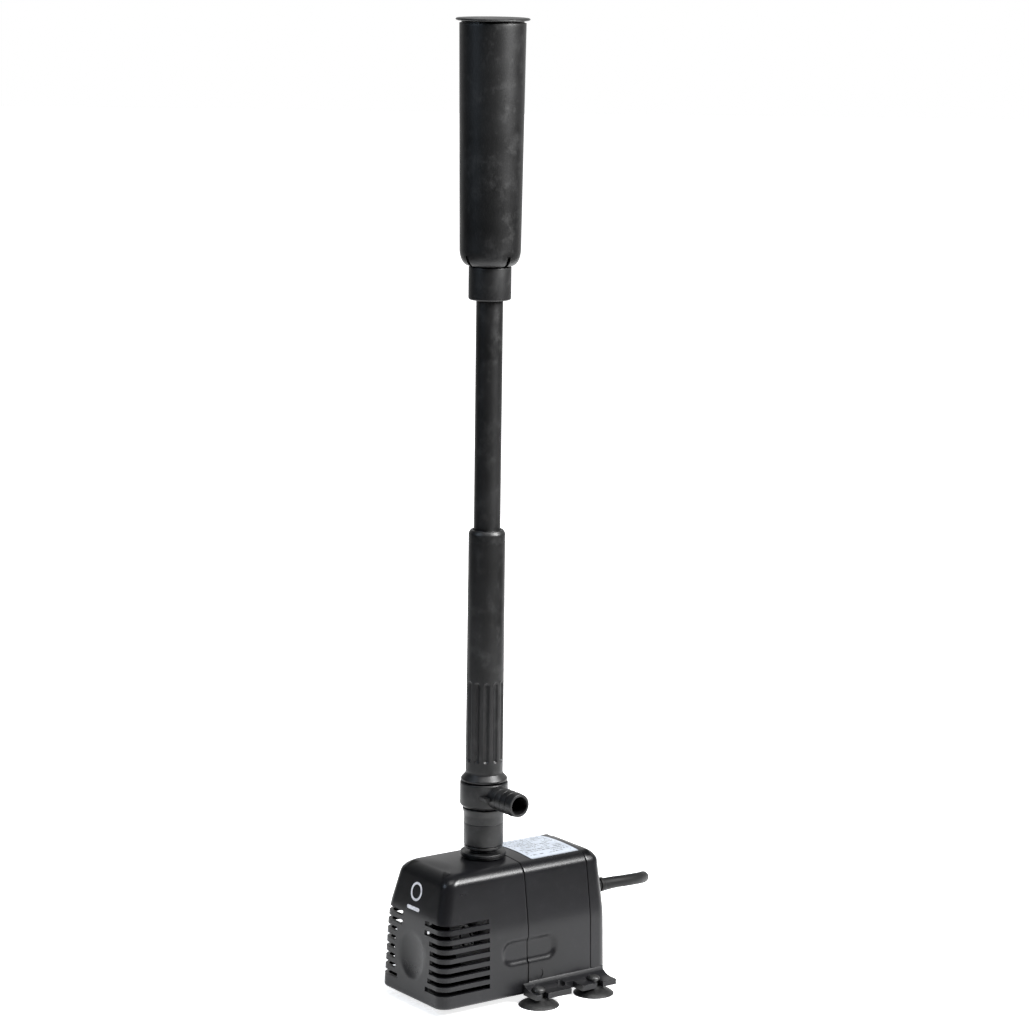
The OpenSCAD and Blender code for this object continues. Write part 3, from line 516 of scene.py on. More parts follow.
def add_gland():
    """Tapered strain relief with grooves cut across it for bending."""
    rear = REAR_Y - 0.6
    sides = [(CORD_D / 2, rear - 5), (7.7, rear - 5), (7.7, rear - 2.4), (5.6, rear - 2.4),
             (5.6, rear + 0.6), (6.2, rear + 0.6)]
    pitch = 3.4
    for i in range(5):
        y = rear + 2.6 + i * pitch
        r = 6.0 - i * 0.32
        sides += [(r, y), (r - 0.9, y + 0.15, 0.1), (r - 0.95, y + 1.1, 0.1), (r - 0.1, y + 1.2)]
    sides += [(4.45, GLAND_END_Y - 0.2), (CORD_D / 2, GLAND_END_Y)]
    piece = turned("strain_relief", rounded(sides, 0.3), CORD_RUBBER, (0, 0, CORD_Z * MM), "Y", 64)
    return stand_for(piece, "cord_gland")


def cad_copy(name, node, material, width):
    """A CAD node's shape with its doubled points merged and its edges rounded."""
    source = frame["nodes"][node]
    obj = bpy.data.objects.new(name, source.data.copy())
    bpy.context.collection.objects.link(obj)
    tidy(obj)
    obj.data.materials.clear()
    obj.data.materials.append(material)
    work = bmesh.new()
    work.from_mesh(obj.data)
    bmesh.ops.dissolve_limit(work, angle_limit=radians(1), verts=work.verts, edges=work.edges)
    work.to_mesh(obj.data)
    work.free()
    soften(obj, width, 3, 40)
    return stand_for(obj, node)


cord = add_cord()
gland = add_gland()
plug = cad_copy("plug", "plug_body", MATERIALS["plug_rubber"], 0.8)

# ---------------------------------------------------------------- casing

FRONT_Y = -62.5
BASE_Z = 5.0
SHOULDER_Z = 78.0          # where the walls start to turn over to the top
TOP_R = 7.0                # radius of that turn
CROWN = 1.0                # rise of the top above its shoulders
WALL = 2.4                 # housing wall
SKIN = 2.2                 # wall of the covers, the sole and the bulkhead's inset
FOOT_R = 2.0               # radius of the bottom edge
REAR_STOP = 54.0           # where the rear corners start
NOTCH_R = 8.6              # half width of the front cover's notch round the outlet's neck
ABOVE = (66, 96)           # heights spanned by a tool that cuts the top
CUP_X = 41.0
CUP_Y = (4.0, 45.5)
SPINE = (-36.5, 50.5)      # ends of the crown's highest line, along Y
SEAM_FRONT = (1.75, 2.25)  # the two edges of each seam
SEAM_REAR = (48.75, 49.25)
SLOT_Z = 15 + 5.7 * np.arange(8)
SLOT_HALF = 1.45
SLOT_END_Y = -26.5
SLOT_INNER = np.where(np.arange(8) >= 6, 11.8,
                      11 + 7.6 * np.sqrt(np.clip(1 - ((np.arange(8) - 3) / 3.5) ** 2, 0, 1)))
DISH = (13.0, 14.6, 31.5, 2.0)                    # half width, half height, middle, depth
RECESS = (-18.0, 24.0, 24.0, 41.0, 8.0, 1.4)      # Y and Z limits, corner radius, depth


def lean(z, low, knee, slope):
    """How far a wall leans in at a height: a slight draft up to the knee, then a slope in degrees,
    turning from one to the other over a few millimetres."""
    over = z - BASE_Z - knee
    draft = low * np.clip((z - BASE_Z) / knee, 0, 1)
    return draft + tan(radians(slope)) * (over + np.sqrt(over ** 2 + 6)) / 2


def side_in(z):
    """Lean of the two side walls."""
    return lean(z, 1.0, 42, 8.5)


def front_in(z):
    """Lean of the front face."""
    return lean(z, 2.4, 53, 14)


def rear_in(z):
    """Lean of the rear face."""
    return lean(z, 0.3, 42, 3)


def recess_depth(y, z):
    """Depth of the finger recess: the distance inside a rounded rectangle, through a smooth step."""
    y0, y1, z0, z1, r, deep = RECESS
    qy = np.abs(y - (y0 + y1) / 2) - (y1 - y0) / 2 + r
    qz = np.abs(z - (z0 + z1) / 2) - (z1 - z0) / 2 + r
    far = np.hypot(np.maximum(qy, 0), np.maximum(qz, 0)) + np.minimum(np.maximum(qy, qz), 0) - r
    return deep * ease((0.2 - far) / 4.0)


def dish_depth(x, z):
    """Depth of the oval thumb recess: a shallow elliptical bowl with a narrow rounded rim."""
    half_w, half_h, mid, deep = DISH
    q = 1 - (x / half_w) ** 2 - ((z - mid) / half_h) ** 2
    return deep * (q + np.sqrt(q ** 2 + 0.004)) / 2


def wall_rows(z0, z1, top=True, edge=0.0):
    """Rows up the casing as (height, draw-in, share of the way to the crown line): in from the
    middle of the underside, round the bottom edge, up the wall, over the shoulder and the crown."""
    rows = [(z0, edge, s) for s in (1.0, 0.66, 0.33, 0.12, 0.0)]
    if edge:
        turn = np.linspace(0, pi / 2, 7)[1:]
        rows += [(z0 + edge * (1 - cos(a)), edge * (1 - sin(a)), 0.0) for a in turn]
    steps = np.array([-SLOT_HALF, -0.5, 0.5, SLOT_HALF, 2.4, 3.3])
    slots = (SLOT_Z[:, None] + steps).ravel()
    grid = np.concatenate([np.arange(8.2, 13, 0.9), slots, np.arange(59.4, SHOULDER_Z, 1.1)])
    low = z0 + edge + 0.3
    high = (SHOULDER_Z if top else z1) - 0.3
    rows += [(z, 0.0, 0.0) for z in grid if low < z < high]
    if top:
        for a in np.linspace(0, radians(85), 15):
            rows.append((SHOULDER_Z + TOP_R * sin(a), TOP_R * (1 - cos(a)), 0.0))
        for s in (0.06, 0.16, 0.3, 0.45, 0.6, 0.75, 0.88, 1.0):
            rows.append((SHOULDER_Z + TOP_R + CROWN * (1 - (1 - s) ** 2), TOP_R, s))
    else:
        rows += [(z1 - 0.25, 0.0, 0.0), (z1, 0.25, 0.0)] + [(z1, 0.25, s) for s in (0.12, 0.4, 0.7, 1.0)]
    return np.array(rows)


def level_in(z, z0, z1, inset):
    """Heights for the inside of a wall: unchanged along the middle, squeezed by the inset towards
    the underside at z0 and the top at z1."""
    low, high = min(z0 + 7, (z0 + z1) / 2), max(z1 - 20, (z0 + z1) / 2)
    z = np.where(z < low, low - (low - z) * (low - z0 - inset) / (low - z0), z)
    return np.where(z > high, high + (z - high) * (z1 - inset - high) / (z1 - high), z)


def end_skin(rows, seam_y, stop_y, end, inner=(), inset=0.0):
    """The skin of one end of the casing, open at the seam. Each row is half of a rounded rectangle:
    along one side, round a corner, across the end face, round the other corner and back, at the
    widths that the wall's lean and the row's draw-in leave; a row's share then moves its points
    towards the crown line. The side's points are at set places from the seam to stop_y, and the
    face's points at set places between the inner marks, so edges of slots stay straight."""
    z, g, share = rows[:, 0:1], rows[:, 1:2] + inset, rows[:, 2:3]
    r = 7 + rows[:, 1:2] / TOP_R - inset
    half = 33 - side_in(z) - g
    face = FRONT_Y + front_in(z) + g if end < 0 else REAR_Y - rear_in(z) - g
    spans = max(3, int(abs(stop_y - seam_y)))
    set_y = np.concatenate([[seam_y, seam_y + end * 0.09, seam_y + end * 0.3],
                            np.linspace(seam_y + end * 0.9, stop_y, spans)])
    near = face - end * r
    t = np.linspace(0, 1, 14 if end < 0 else 5)[1:-1]
    side_y = np.concatenate([np.repeat(set_y[None], len(z), 0), set_y[-1] + (near - set_y[-1]) * t], 1)
    rim = np.zeros(side_y.shape[1])
    if not inset:
        rim[:2] = 0.3, 0.09
    side_x = half - rim
    angle = np.linspace(0, pi / 2, 15)
    corner_x = half - r + r * np.cos(angle)
    corner_y = near + end * r * np.sin(angle)
    if len(inner):
        marks = np.array(sorted(set(np.round(inner, 4)), reverse=True))
        set_x = np.concatenate([marks[1:], np.arange(10.8, 0.3, -0.9)])
    else:
        marks = np.array([14.0])
        set_x = np.arange(12.6, 0.5, -1.4)
    t = np.linspace(0, 1, 6)[1:]
    out_x = half - r + (marks[0] - (half - r)) * t
    face_x = np.concatenate([out_x, np.repeat(set_x[None], len(z), 0)], 1)
    x = np.concatenate([side_x, corner_x, face_x, np.zeros((len(z), 1))], 1)
    y = np.concatenate([side_y, corner_y, np.repeat(face, face_x.shape[1] + 1, 1)], 1)
    x = np.concatenate([-x, x[:, -2::-1]], 1)
    y = np.concatenate([y, y[:, -2::-1]], 1)
    if end > 0:
        x = x[:, ::-1]
        y = y[:, ::-1]
    zz = np.repeat(z, x.shape[1], 1)
    wall = share[:, 0] == 0
    on_side = (np.abs(y - face) > r) & wall[:, None] & (inset == 0)
    x = x - np.sign(x) * recess_depth(y, zz) * on_side
    if end < 0:
        on_face = (np.abs(y - face) < 0.01) & wall[:, None]
        y = y + dish_depth(x, zz) * on_face
    line_y = np.clip(y, *SPINE)
    x = x * (1 - share)
    y = y + (line_y - y) * share
    stop = SPINE[0] if end < 0 else SPINE[1]
    across = np.clip(np.abs(x) / half, 0, 1)
    along = np.clip((y - stop) / (face - stop), 0, 1)
    dome = SHOULDER_Z + TOP_R + CROWN * (1 - across ** 2) * (1 - along ** 2)
    zz = np.where((zz > SHOULDER_Z + TOP_R) & (share > 0), dome, zz)
    zz = level_in(zz, rows[0, 0], rows[-1, 0], inset)
    return np.stack([x, y, zz], -1)


def shell(name, outer, inner, material, keep=None):
    """A closed wall between two skins with matching points. Points that coincide become one, the
    faces that keep rejects are left out of both skins, and each open edge gets a face across the
    wall: an edge is open where no other face runs along it the other way."""
    rows, columns = outer.shape[:2]
    faces = quads(rows, columns)
    if keep is not None:
        faces = faces[keep(outer.reshape(-1, 3)[faces].mean(1))]
    points = outer.reshape(-1, 3)
    _, first, same = np.unique(np.round(points, 4), axis=0, return_index=True, return_inverse=True)
    faces = first[same.ravel()[faces]]
    ahead = np.roll(faces, -1, 1)
    distinct = (faces != ahead).sum(1)
    faces, ahead = faces[distinct > 2], ahead[distinct > 2]
    starts, stops = faces.ravel(), ahead.ravel()
    n = len(points)
    edges = starts * n + stops
    open_edge = ~np.isin(edges, stops * n + starts) & (starts != stops)
    a, b = starts[open_edge], stops[open_edge]
    skins = np.concatenate([faces, faces[:, ::-1] + n, np.stack([b, a, a + n, b + n], -1)])
    lists = [list(dict.fromkeys(f)) for f in skins.tolist()]
    used = np.unique(np.concatenate([np.array(f) for f in lists]))
    place = np.zeros(2 * n, int)
    place[used] = np.arange(len(used))
    both = np.concatenate([points, inner.reshape(-1, 3)])[used]
    return tidy(add_piece(name, both * MM, [tuple(place[f]) for f in lists], material))


def outside_slots(middle):
    """Which faces are solid: not in the band of a slot between its inner end and its side end."""
    x, y, z = np.abs(middle[:, 0]), middle[:, 1], middle[:, 2]
    solid = np.ones(len(middle), bool)
    for level, inner in zip(SLOT_Z, SLOT_INNER):
        solid &= ~((np.abs(z - level) < SLOT_HALF - 0.05) & (y < SLOT_END_Y) & (x > inner))
    return solid


def make_front_cover():
    """The front cover: slots on both sides, an oval thumb recess, finger recesses, and a notch in
    its top that lets it slide off past the outlet."""
    rows = wall_rows(BASE_Z, 0, True, FOOT_R)
    skins = [end_skin(rows, SEAM_FRONT[0], SLOT_END_Y, -1, SLOT_INNER, g) for g in (0.0, SKIN)]
    piece = shell("front_cover_shell", *skins, CASING, outside_slots)
    cut(piece, rod(NOTCH_R, *ABOVE, 0, RISER_AT))
    cut(piece, block((-NOTCH_R, RISER_AT, ABOVE[0]), (NOTCH_R, 6, ABOVE[1])))
    soften(piece, 0.5, 3, 50)
    return stand_for(piece, "front_cover")


def section(inset=0.0):
    """Half of the casing's cross-section, from the middle of the underside up the +X side to the
    top of the crown, as (x, z), drawn in by the inset."""
    rows = wall_rows(BASE_Z, 0, True, FOOT_R)
    z, g, share = rows.T
    x = (33 - side_in(z) - g - inset) * (1 - share)
    return np.stack([x, level_in(z, z[0], z[-1], inset)], -1)


def full_section(inset=0.0):
    """The whole cross-section, closed: up the +X side and down the -X side."""
    half = section(inset)
    return np.concatenate([half, (half * [-1, 1])[-2:0:-1]])


def join(obj, *others):
    """Puts other pieces' meshes into this one, as separate shells."""
    work = bmesh.new()
    work.from_mesh(obj.data)
    for other in others:
        work.from_mesh(other.data)
        bpy.data.objects.remove(other)
    work.to_mesh(obj.data)
    work.free()
    obj.data.shade_smooth()
    obj.data.set_sharp_from_angle(angle=radians(35))
    return obj


def hoop(name, loops, material):
    """A closed tube: loops of equal length, each joined to the next and the last to the first."""
    grid = np.stack(loops + loops[:1])
    return tidy(add_piece(name, grid.reshape(-1, 3) * MM, quads(len(grid), grid.shape[1], True), material))


def at_y(loop, y):
    """A loop of (x, z) placed at a Y."""
    return np.stack([loop[:, 0], np.full(len(loop), y), loop[:, 1]], -1)


def ring_loops(outer, inner, y0, y1):
    """The four edges of a flat ring across the casing, from y0 to y1."""
    return [at_y(outer, y0), at_y(inner, y0), at_y(inner, y1), at_y(outer, y1)]


def make_lug(s):
    """One side's lug: a flat flange that flares up to the wall, carried along Y, with the two open
    slots for the cups, a hooked notch for winding the cord, and softened edges."""
    profile = [(30.9, 5), (47.5, 5), (47.5, 8.5), (42, 8.5), (39.2, 8.8), (36.8, 9.6), (34.6, 10.9),
               (33.1, 12.4), (32.3, 13.4), (30.9, 13.4)]
    line = np.array(rounded(profile, 0.2, 1))
    y = np.linspace(-2, 58, 61)
    loops = [at_y(line * [s, 1], v) for v in y]
    grid = np.stack(loops)
    n = len(line)
    faces = [tuple(f) for f in quads(len(y), n, True)]
    faces += [tuple(range(n)), tuple((len(y) - 1) * n + np.arange(n)[::-1])]
    lug = tidy(add_piece("lug", grid.reshape(-1, 3) * MM, faces, CASING))
    for low, high in (((38, 24, 0), (60, 32.5, 30)), ((0, -9, 0), (33.3, 2.25, 30))):
        if s < 0:
            low, high = (-high[0], low[1], low[2]), (-low[0], high[1], high[2])
        cut(lug, block(low, high))
    cut(lug, rod(3, -1, 30, s * 38, 23))
    for y in CUP_Y:
        cut(lug, rod(2.75, -1, 30, s * CUP_X, y))
        cut(lug, rod(4.7, 8.5, 30, s * CUP_X, y))
        x = sorted((s * CUP_X, s * 60))
        cut(lug, block((x[0], y - 2.4, -1), (x[1], y + 2.4, 30)))
    soften(lug, 0.45, 3, 38)
    bake(lug)
    return lug


def make_housing():
    """The motor housing: its cross-section carried along Y with rounded ends and the finger
    recess, a bulkhead, the lip that the front cover slides onto, the sole and the lugs."""
    ring = full_section()
    start, stop = SEAM_FRONT[1], SEAM_REAR[0]
    y = np.concatenate([[start, start + 0.09, start + 0.3], np.arange(3.2, 26, 0.9),
                        np.linspace(26.5, 48.2, 12), [stop - 0.3, stop - 0.09, stop]])
    edge = np.zeros(len(y))
    edge[[0, 1, -2, -1]] = 0.3, 0.09, 0.09, 0.3
    x = np.repeat(ring[:, 0:1], len(y), 1)
    z = np.repeat(ring[:, 1:2], len(y), 1)
    yy = np.repeat(y[None], len(ring), 0)
    draw = edge[None] * np.where((yy > 40) & (z < 12.2), 0, 1)
    away = np.hypot(x, z - 40) + 1e-9
    x, z = x - x / away * draw, z - (z - 40) / away * draw
    x = x - np.sign(x) * recess_depth(yy, z) * ((z > 20) & (z < 45))
    outer = np.stack([x, yy, z], -1)
    low = full_section(WALL)
    inner = np.stack([np.repeat(low[:, 0:1], len(y), 1), yy, np.repeat(low[:, 1:2], len(y), 1)], -1)
    skins = [np.concatenate([skin, skin[:1]]) for skin in (outer, inner)]
    piece = shell("housing_shell", *skins, CASING)
    for s in (-1, 1):
        ends = sorted((s * 32.35, s * 36))
        cut(piece, rod(3.4, ends[0], ends[1], 9.7, 16.6, "X", 48))
    outer = full_section(SKIN)
    axis_z, bore_r = 36, 14
    angle = np.arctan2(outer[:, 1] - axis_z, outer[:, 0])
    bore = np.stack([bore_r * np.cos(angle), axis_z + bore_r * np.sin(angle)], -1)
    bulkhead = hoop("bulkhead", ring_loops(outer, bore, 2.3, 5.05), CASING)
    lip = hoop("lip", ring_loops(full_section(2.7), full_section(4.1), -1.75, 2.4), CASING)
    cut(lip, block((-NOTCH_R - 1, -3, ABOVE[0]), (NOTCH_R + 1, 2.2, ABOVE[1])))
    rows = wall_rows(BASE_Z, 12, False, FOOT_R)
    sole = shell("sole", *[end_skin(rows, 48.7, REAR_STOP, 1, (), g) for g in (0.0, SKIN)], CASING)
    return stand_for(join(piece, bulkhead, lip, sole, make_lug(1), make_lug(-1)), "motor_housing")


def make_rear_cover():
    """The rear cover: a cap over the housing's end, with the hole for the cord's strain relief."""
    rows = wall_rows(12.5, 0, True, 0.3)
    skins = [end_skin(rows, SEAM_REAR[1], REAR_STOP, 1, (), g) for g in (0.0, SKIN)]
    piece = shell("rear_cover_shell", *skins, CASING)
    cut(piece, rod(5.6, 58, 66, 0, CORD_Z, "Y"))
    soften(piece, 0.3, 2, 50)
    return stand_for(piece, "rear_cover")


def make_label():
    """The rating label: a thin sheet laid over the crown and the start of the shoulders."""
    half = section()
    order = np.argsort(half[:, 0][-16:])
    xs, zs = half[-16:, 0][order], half[-16:, 1][order]
    x = np.linspace(-LABEL_HALF, LABEL_HALF, 61) / MM
    y = np.linspace(*LABEL_Y, 24)
    xx, yy = np.meshgrid(x, y)
    zz = np.interp(np.abs(xx), xs, zs) + 0.22
    grid = np.stack([xx, yy, zz], -1)
    piece = add_piece("label_sheet", grid.reshape(-1, 3) * MM, quads(len(y), len(x)), MATERIALS["label"])
    thick = piece.modifiers.new("film", "SOLIDIFY")
    thick.thickness = 0.2 * MM
    thick.offset = -1
    bake(piece)
    return stand_for(piece, "rating_label")


def print_ink():
    """Pale ink, slightly worn."""
    s = Shader("print_ink")
    worn = s.ramp(s.noise(420, 4), 0.35, 0.6)
    shade = s.blend(worn, grey(0.42, 1.06), grey(0.62, 1.06))
    return s.finish(shade, 0.45, bump=s.noise(900), depth=0.00002)


def face_print(name, x, z):
    """A print on the front face: points given as arrays of x and z, laid just proud of the face."""
    y = FRONT_Y + front_in(z) - 0.05
    grid = np.stack([x, y, z], -1)
    piece = add_piece(name, grid.reshape(-1, 3) * MM, quads(*x.shape), INK)
    thick = piece.modifiers.new("ink", "SOLIDIFY")
    thick.thickness = 0.08 * MM
    thick.offset = 0
    bake(piece)
    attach(piece, "intake")
    return piece


def make_print():
    """A plain mark: a ring, and a short bar with round ends under it."""
    a = np.linspace(0, 2 * pi, 73)
    r = np.linspace(4.2, 5.6, 4)
    aa, rr = np.meshgrid(a, r)
    face_print("print_ring", MARK[0] + rr * np.cos(aa), MARK[1] + rr * np.sin(aa))
    x = np.linspace(-6.5, 6.5, 53)
    half = 1.1 * np.sqrt(np.clip(1 - (np.maximum(np.abs(x) - 5.4, 0) / 1.1) ** 2, 0.0004, 1))
    v = np.linspace(-1, 1, 4)
    face_print("print_bar", MARK[0] + np.repeat(x[None], 4, 0), MARK[1] - 10 + v[:, None] * half[None])


INK = print_ink()
MARK = (-2.0, 70.5)
make_front_cover()
make_housing()
make_rear_cover()
make_label()
make_print()

# ---------------------------------------------------------------- outlet, valve and riser

OUTLET_Z = 125.5           # height of the hose outlet's axis


def make_adapter():
    """The outlet adapter: threaded shank, double flange, waist, shoulder and grooved spigot."""
    thread = []
    for z in 71.5 + 1.8 * np.arange(7):
        thread += [(8.3, z, 0.1), (8.3, z + 0.7, 0.1), (7.7, z + 1.1, 0.1), (7.7, z + 1.4, 0.1)]
    outline = [(6.5, 70.3), (8.0, 70.3)] + thread + [
        (8.3, 86.3), (13.3, 86.3), (13.3, 87.5, 0.1), (14, 87.6), (14, 89.5, 0.5), (8.3, 89.5),
        (8.3, 90.7), (11.8, 92.1), (11.8, 93.6), (10.0, 93.6), (10.0, 101.9, 0.1), (8.7, 101.9, 0.1),
        (8.7, 103.9, 0.1), (10.0, 103.9, 0.1), (10.0, 106.9), (6.5, 106.9)]
    return stand_for(turned("outlet_neck", rounded(outline, 0.3), RISER), "outlet_adapter")


def make_valve():
    """The valve body: a socket with a flared shoulder and a core that the ring turns on, pierced by
    the window that feeds the hose outlet."""
    outline = [(10.3, 93.9), (12.1, 93.9, 0.5), (12.1, 107.3, 0.05), (11.9, 107.4, 0.05),
               (11.9, 107.7, 0.05), (12.1, 107.8, 0.05), (12.1, 112.9, 1.5), (12.9, 115.9, 0.6),
               (12.9, 116.9, 0.3), (11.5, 116.9), (11.5, 134.1), (9.2, 134.1), (9.2, 142.1),
               (6.5, 142.1), (6.5, 107.4), (10.3, 107.4)]
    piece = turned("valve", rounded(outline, 0.25), RISER)
    cut(piece, rod(5, 0, 14, RISER_AT, OUTLET_Z, "X"))
    return stand_for(piece, "valve_body")


def make_diverter():
    """The diverter ring with its hose barb: four tapered ribs towards the tip, and a web beside the
    root."""
    outline = [(11.8, 117.9), (13.4, 117.9), (14.6, 119.4), (14.6, 133.1, 0.9), (11.8, 133.1)]
    ring = turned("ring", rounded(outline, 0.3), RISER, turns=160)
    bore, groove, rib, slim = 5.5, 6.35, 7.5, 7.0
    tip, pitch, gap = 37.0, 5.2, 1.0
    barb = [(bore, 12.6), (7.1, 12.6), (7.1, 16.1, 0.1)]
    for x in tip - pitch * np.array([4, 3, 2, 1]):
        barb += [(groove, x - 0.05, 0.1), (rib, x + 0.05, 0.25), (slim, x + pitch - gap - 0.1, 0.3),
                 (groove, x + pitch - gap, 0.1)]
    barb = barb[:-2] + [(slim, tip, 0.5), (bore, tip, 0.35)]
    place = (0, RISER_Y, OUTLET_Z * MM)
    cut(ring, rod(bore, 5, 20, RISER_AT, OUTLET_Z, "X"))
    cut(ring, turned("barb", rounded(barb, 0.25), RISER, place, "X", 96), "UNION")
    cut(ring, block((8.7, -10.6, -1), (17.4, -5.5, 1), 0, (0, RISER_AT, OUTLET_Z)), "UNION")
    soften(ring, 0.2, 2, 40)
    return stand_for(ring, "diverter_ring")


def make_lower_riser():
    """The lower riser: a flared foot and a long slightly tapered tube, with twelve scooped flutes
    that have round ends. Each flute's depth is a parabola across it and round its ends."""
    flutes, z0, z1, deep, half = 12, 146.1, 196.1, 1.25, 1.7
    bands = ((140, z0 - 0.3, 10), (z0, z0 + 3, 11), (z0 + 3.6, z1 - 3.6, 40), (z1 - 3, z1, 11),
             (z1 + 0.6, 280, 50))
    heights = np.concatenate([np.linspace(*band) for band in bands])
    taper = 11.4 - 0.35 * (heights - 138.5) / 147.6
    foot = [(9.2, 134.1), (14.1, 134.1), (14.1, 135.3, 0.4), (11.4, 138.4, 1.0), (11.39, 139.6)]
    top = rounded([(11.06, 281), (11.05, 286.1, 0.8), (9.8, 288.1, 0.4), (8.3, 288.1)], 0.3)[1:-1]
    inside = [(8.3, 288.1), (8.3, 283.1), (9.2, 283.1), (9.2, 281.1), (8.3, 281.1), (8.3, 142.1),
              (9.2, 142.1), (9.2, 134.1)]
    profile = rounded(foot, 0.3)[2:] + list(zip(taper, heights)) + top + inside
    verts, faces = lathe(profile, 216)
    p = verts / MM
    r = np.hypot(p[:, 0], p[:, 1])
    angle = np.arctan2(p[:, 1], p[:, 0])
    across = (np.mod(angle * flutes / (2 * pi) + 0.5, 1) - 0.5) * 2 * pi / flutes * r
    past = np.maximum(np.maximum(z0 + half - p[:, 2], p[:, 2] - z1 + half), 0)
    q = (across ** 2 + past ** 2) / half ** 2
    scoop = deep * np.maximum(1 - q, 0) * (r > 10.5)
    scale = (r - scoop) / r
    verts = np.stack([p[:, 0] * scale, p[:, 1] * scale + RISER_AT, p[:, 2]], -1) * MM
    piece = tidy(add_piece("lower_tube", verts, faces, RISER))
    piece.data.set_sharp_from_angle(angle=radians(50))
    return stand_for(piece, "lower_riser")


def make_upper_riser():
    """The upper tube, with the wider guide at its lower end."""
    outline = [(6.5, 270.1), (8.25, 270.1), (8.25, 273.1), (8.0, 273.3), (8.0, 437.1), (6.5, 437.1)]
    heights = [(8.0, z, 0) for z in np.linspace(280, 430, 31)]
    piece = turned("upper_tube", rounded(outline[:4] + heights + outline[4:], 0.2), TUBE)
    return stand_for(piece, "upper_riser")


def make_hub():
    """The collar that joins the nozzle to the tube."""
    outline = [(8.05, 426.5), (12.2, 426.5), (12.7, 427.3, 0.4), (12.7, 446.0, 0.4), (10.5, 446.0),
               (10.5, 452.0), (6.0, 452.0), (6.0, 444.0), (4.2, 444.0), (4.2, 437.4), (8.05, 437.4)]
    return stand_for(turned("nozzle_collar", rounded(outline, 0.25), NOZZLE), "nozzle_hub")


def make_sleeve():
    """The nozzle's sleeve: a domed foot with four short slots, and a wall that widens to a rim
    with a small step under the cap."""
    base, dome_h, wall_h, flare, thick = 446.8, 10, 131.7, 1.45, 1.8
    a = np.radians(np.linspace(0, 90, 22))
    dome = [(13.2 + 5 * sin(t), base + dome_h * (1 - cos(t)), 0) for t in a]
    rise = np.linspace(0, 1, 60)[1:-1]
    wall = [(18.2 + flare * t, base + dome_h + wall_h * t, 0) for t in rise]
    rim = [(19.65, 588.5, 0.35), (18.45, 588.55, 0.1), (18.45, 589.5, 0.2), (16.9, 589.5, 0.3)]
    inner = [(17.85, 588.0, 0.2)]
    inner += [(16.4 + flare * t, base + dome_h + wall_h * t, 0) for t in np.linspace(0.98, 0, 20)]
    inner += [(11.4 + 5 * sin(t), base + thick + (dome_h - thick) * (1 - cos(t)), 0) for t in a[::-1]]
    outline = [(10.5, base, 0.1)] + dome + wall + rim + inner + [(10.5, base + thick, 0.1)]
    piece = turned("nozzle_wall", rounded(outline, 0.2), NOZZLE, turns=160)
    for turn in radians(4) + pi / 2 * np.arange(4):
        cut(piece, block((11.4, -1.2, base - 1), (19.4, 1.2, base + 6.2), turn, (0, RISER_AT, 0)))
    soften(piece, 0.15, 2, 50)
    return stand_for(piece, "nozzle_sleeve")


def make_cap():
    """The cap plate on its cone and stem."""
    outline = [(0, 555.5), (2.3, 555.5), (2.3, 581.8, 0.6), (9.0, 589.8, 0.3), (21.2, 589.8, 0.3),
               (22.0, 590.5, 0.35), (21.3, 591.3, 0.5), (0, 591.3)]
    return stand_for(turned("nozzle_cap", rounded(outline, 0.2), NOZZLE, turns=160), "cap_plate")


def make_cup(n):
    """A suction cup: a thin lip curving up to a dome, a neck in the lug's slot and a knob."""
    x = CUP_X if n % 2 else -CUP_X
    y = CUP_Y[(n - 1) // 2]
    outline = [(0, 1.7), (7.5, 1.15, 2), (11.7, 0.02, 0.1), (12.5, 0.0, 0.1), (12.5, 0.45, 0.2),
               (10.2, 2.1, 1.5), (5.8, 3.7, 1), (3.7, 4.95, 0.3), (2.7, 5.0), (2.7, 8.5), (4.0, 8.5, 0.3),
               (3.9, 9.9, 0.5), (2.5, 11.1, 0.6), (0, 11.5)]
    piece = turned("cup_%d" % n, rounded(outline, 0.3, 6), CUP_RUBBER, (x * MM, y * MM, 0), turns=72)
    return stand_for(piece, "suction_cup_%d" % n)


make_adapter()
make_valve()
make_diverter()
make_lower_riser()
make_upper_riser()
make_hub()
make_sleeve()
make_cap()
for number in (1, 2, 3, 4):
    make_cup(number)

# ---------------------------------------------------------------- inner parts kept as built

for node, obj in frame["nodes"].items():
    obj.data.materials.clear()
    obj.data.materials.append(MATERIALS[SLOT_OF[node]])

# ---------------------------------------------------------------- floor and light


def floor():
    """A pale floor that glows, wider behind the object than before it: painted light, brighter to its
    right and far behind.
    """
    s = Shader("glowing_floor")
    across = s.add("ShaderNodeVectorMath", operation="DOT_PRODUCT", Vector=s.place)
    across.inputs[1].default_value = (cos(AZIMUTH), sin(AZIMUTH), 0)
    behind = s.add("ShaderNodeVectorMath", operation="DOT_PRODUCT", Vector=s.place)
    behind.inputs[1].default_value = (-sin(AZIMUTH), cos(AZIMUTH), 0)
    # painted light: the floor glows, weaker to the object's left and stronger to its right and far behind
    glow = s.math("MAXIMUM", s.ramp(across.outputs["Value"], -0.25, 0.2, *FLOOR_GLOW),
                  s.ramp(behind.outputs["Value"], 0.25, 1.2, FLOOR_GLOW[0], FAR_GLOW))
    glowing_floor_material = s.finish(s.blend(s.noise(3, 4), grey(0.82), grey(0.86)), 0.9, bump=s.noise(300), depth=0.00005,
                     Emission_Color=(1, 1, 1, 1), Emission_Strength=glow)
    outline = np.array([[-0.42, 0.4], [0.42, 0.4], [1.9, -8], [-1.9, -8]])
    right = np.array([cos(AZIMUTH), sin(AZIMUTH), 0])
    near = np.array([sin(AZIMUTH), -cos(AZIMUTH), 0])
    corners = outline[:, :1] * right + outline[:, 1:] * near
    add_piece("floor", corners[::-1], [(0, 1, 2, 3)], glowing_floor_material)


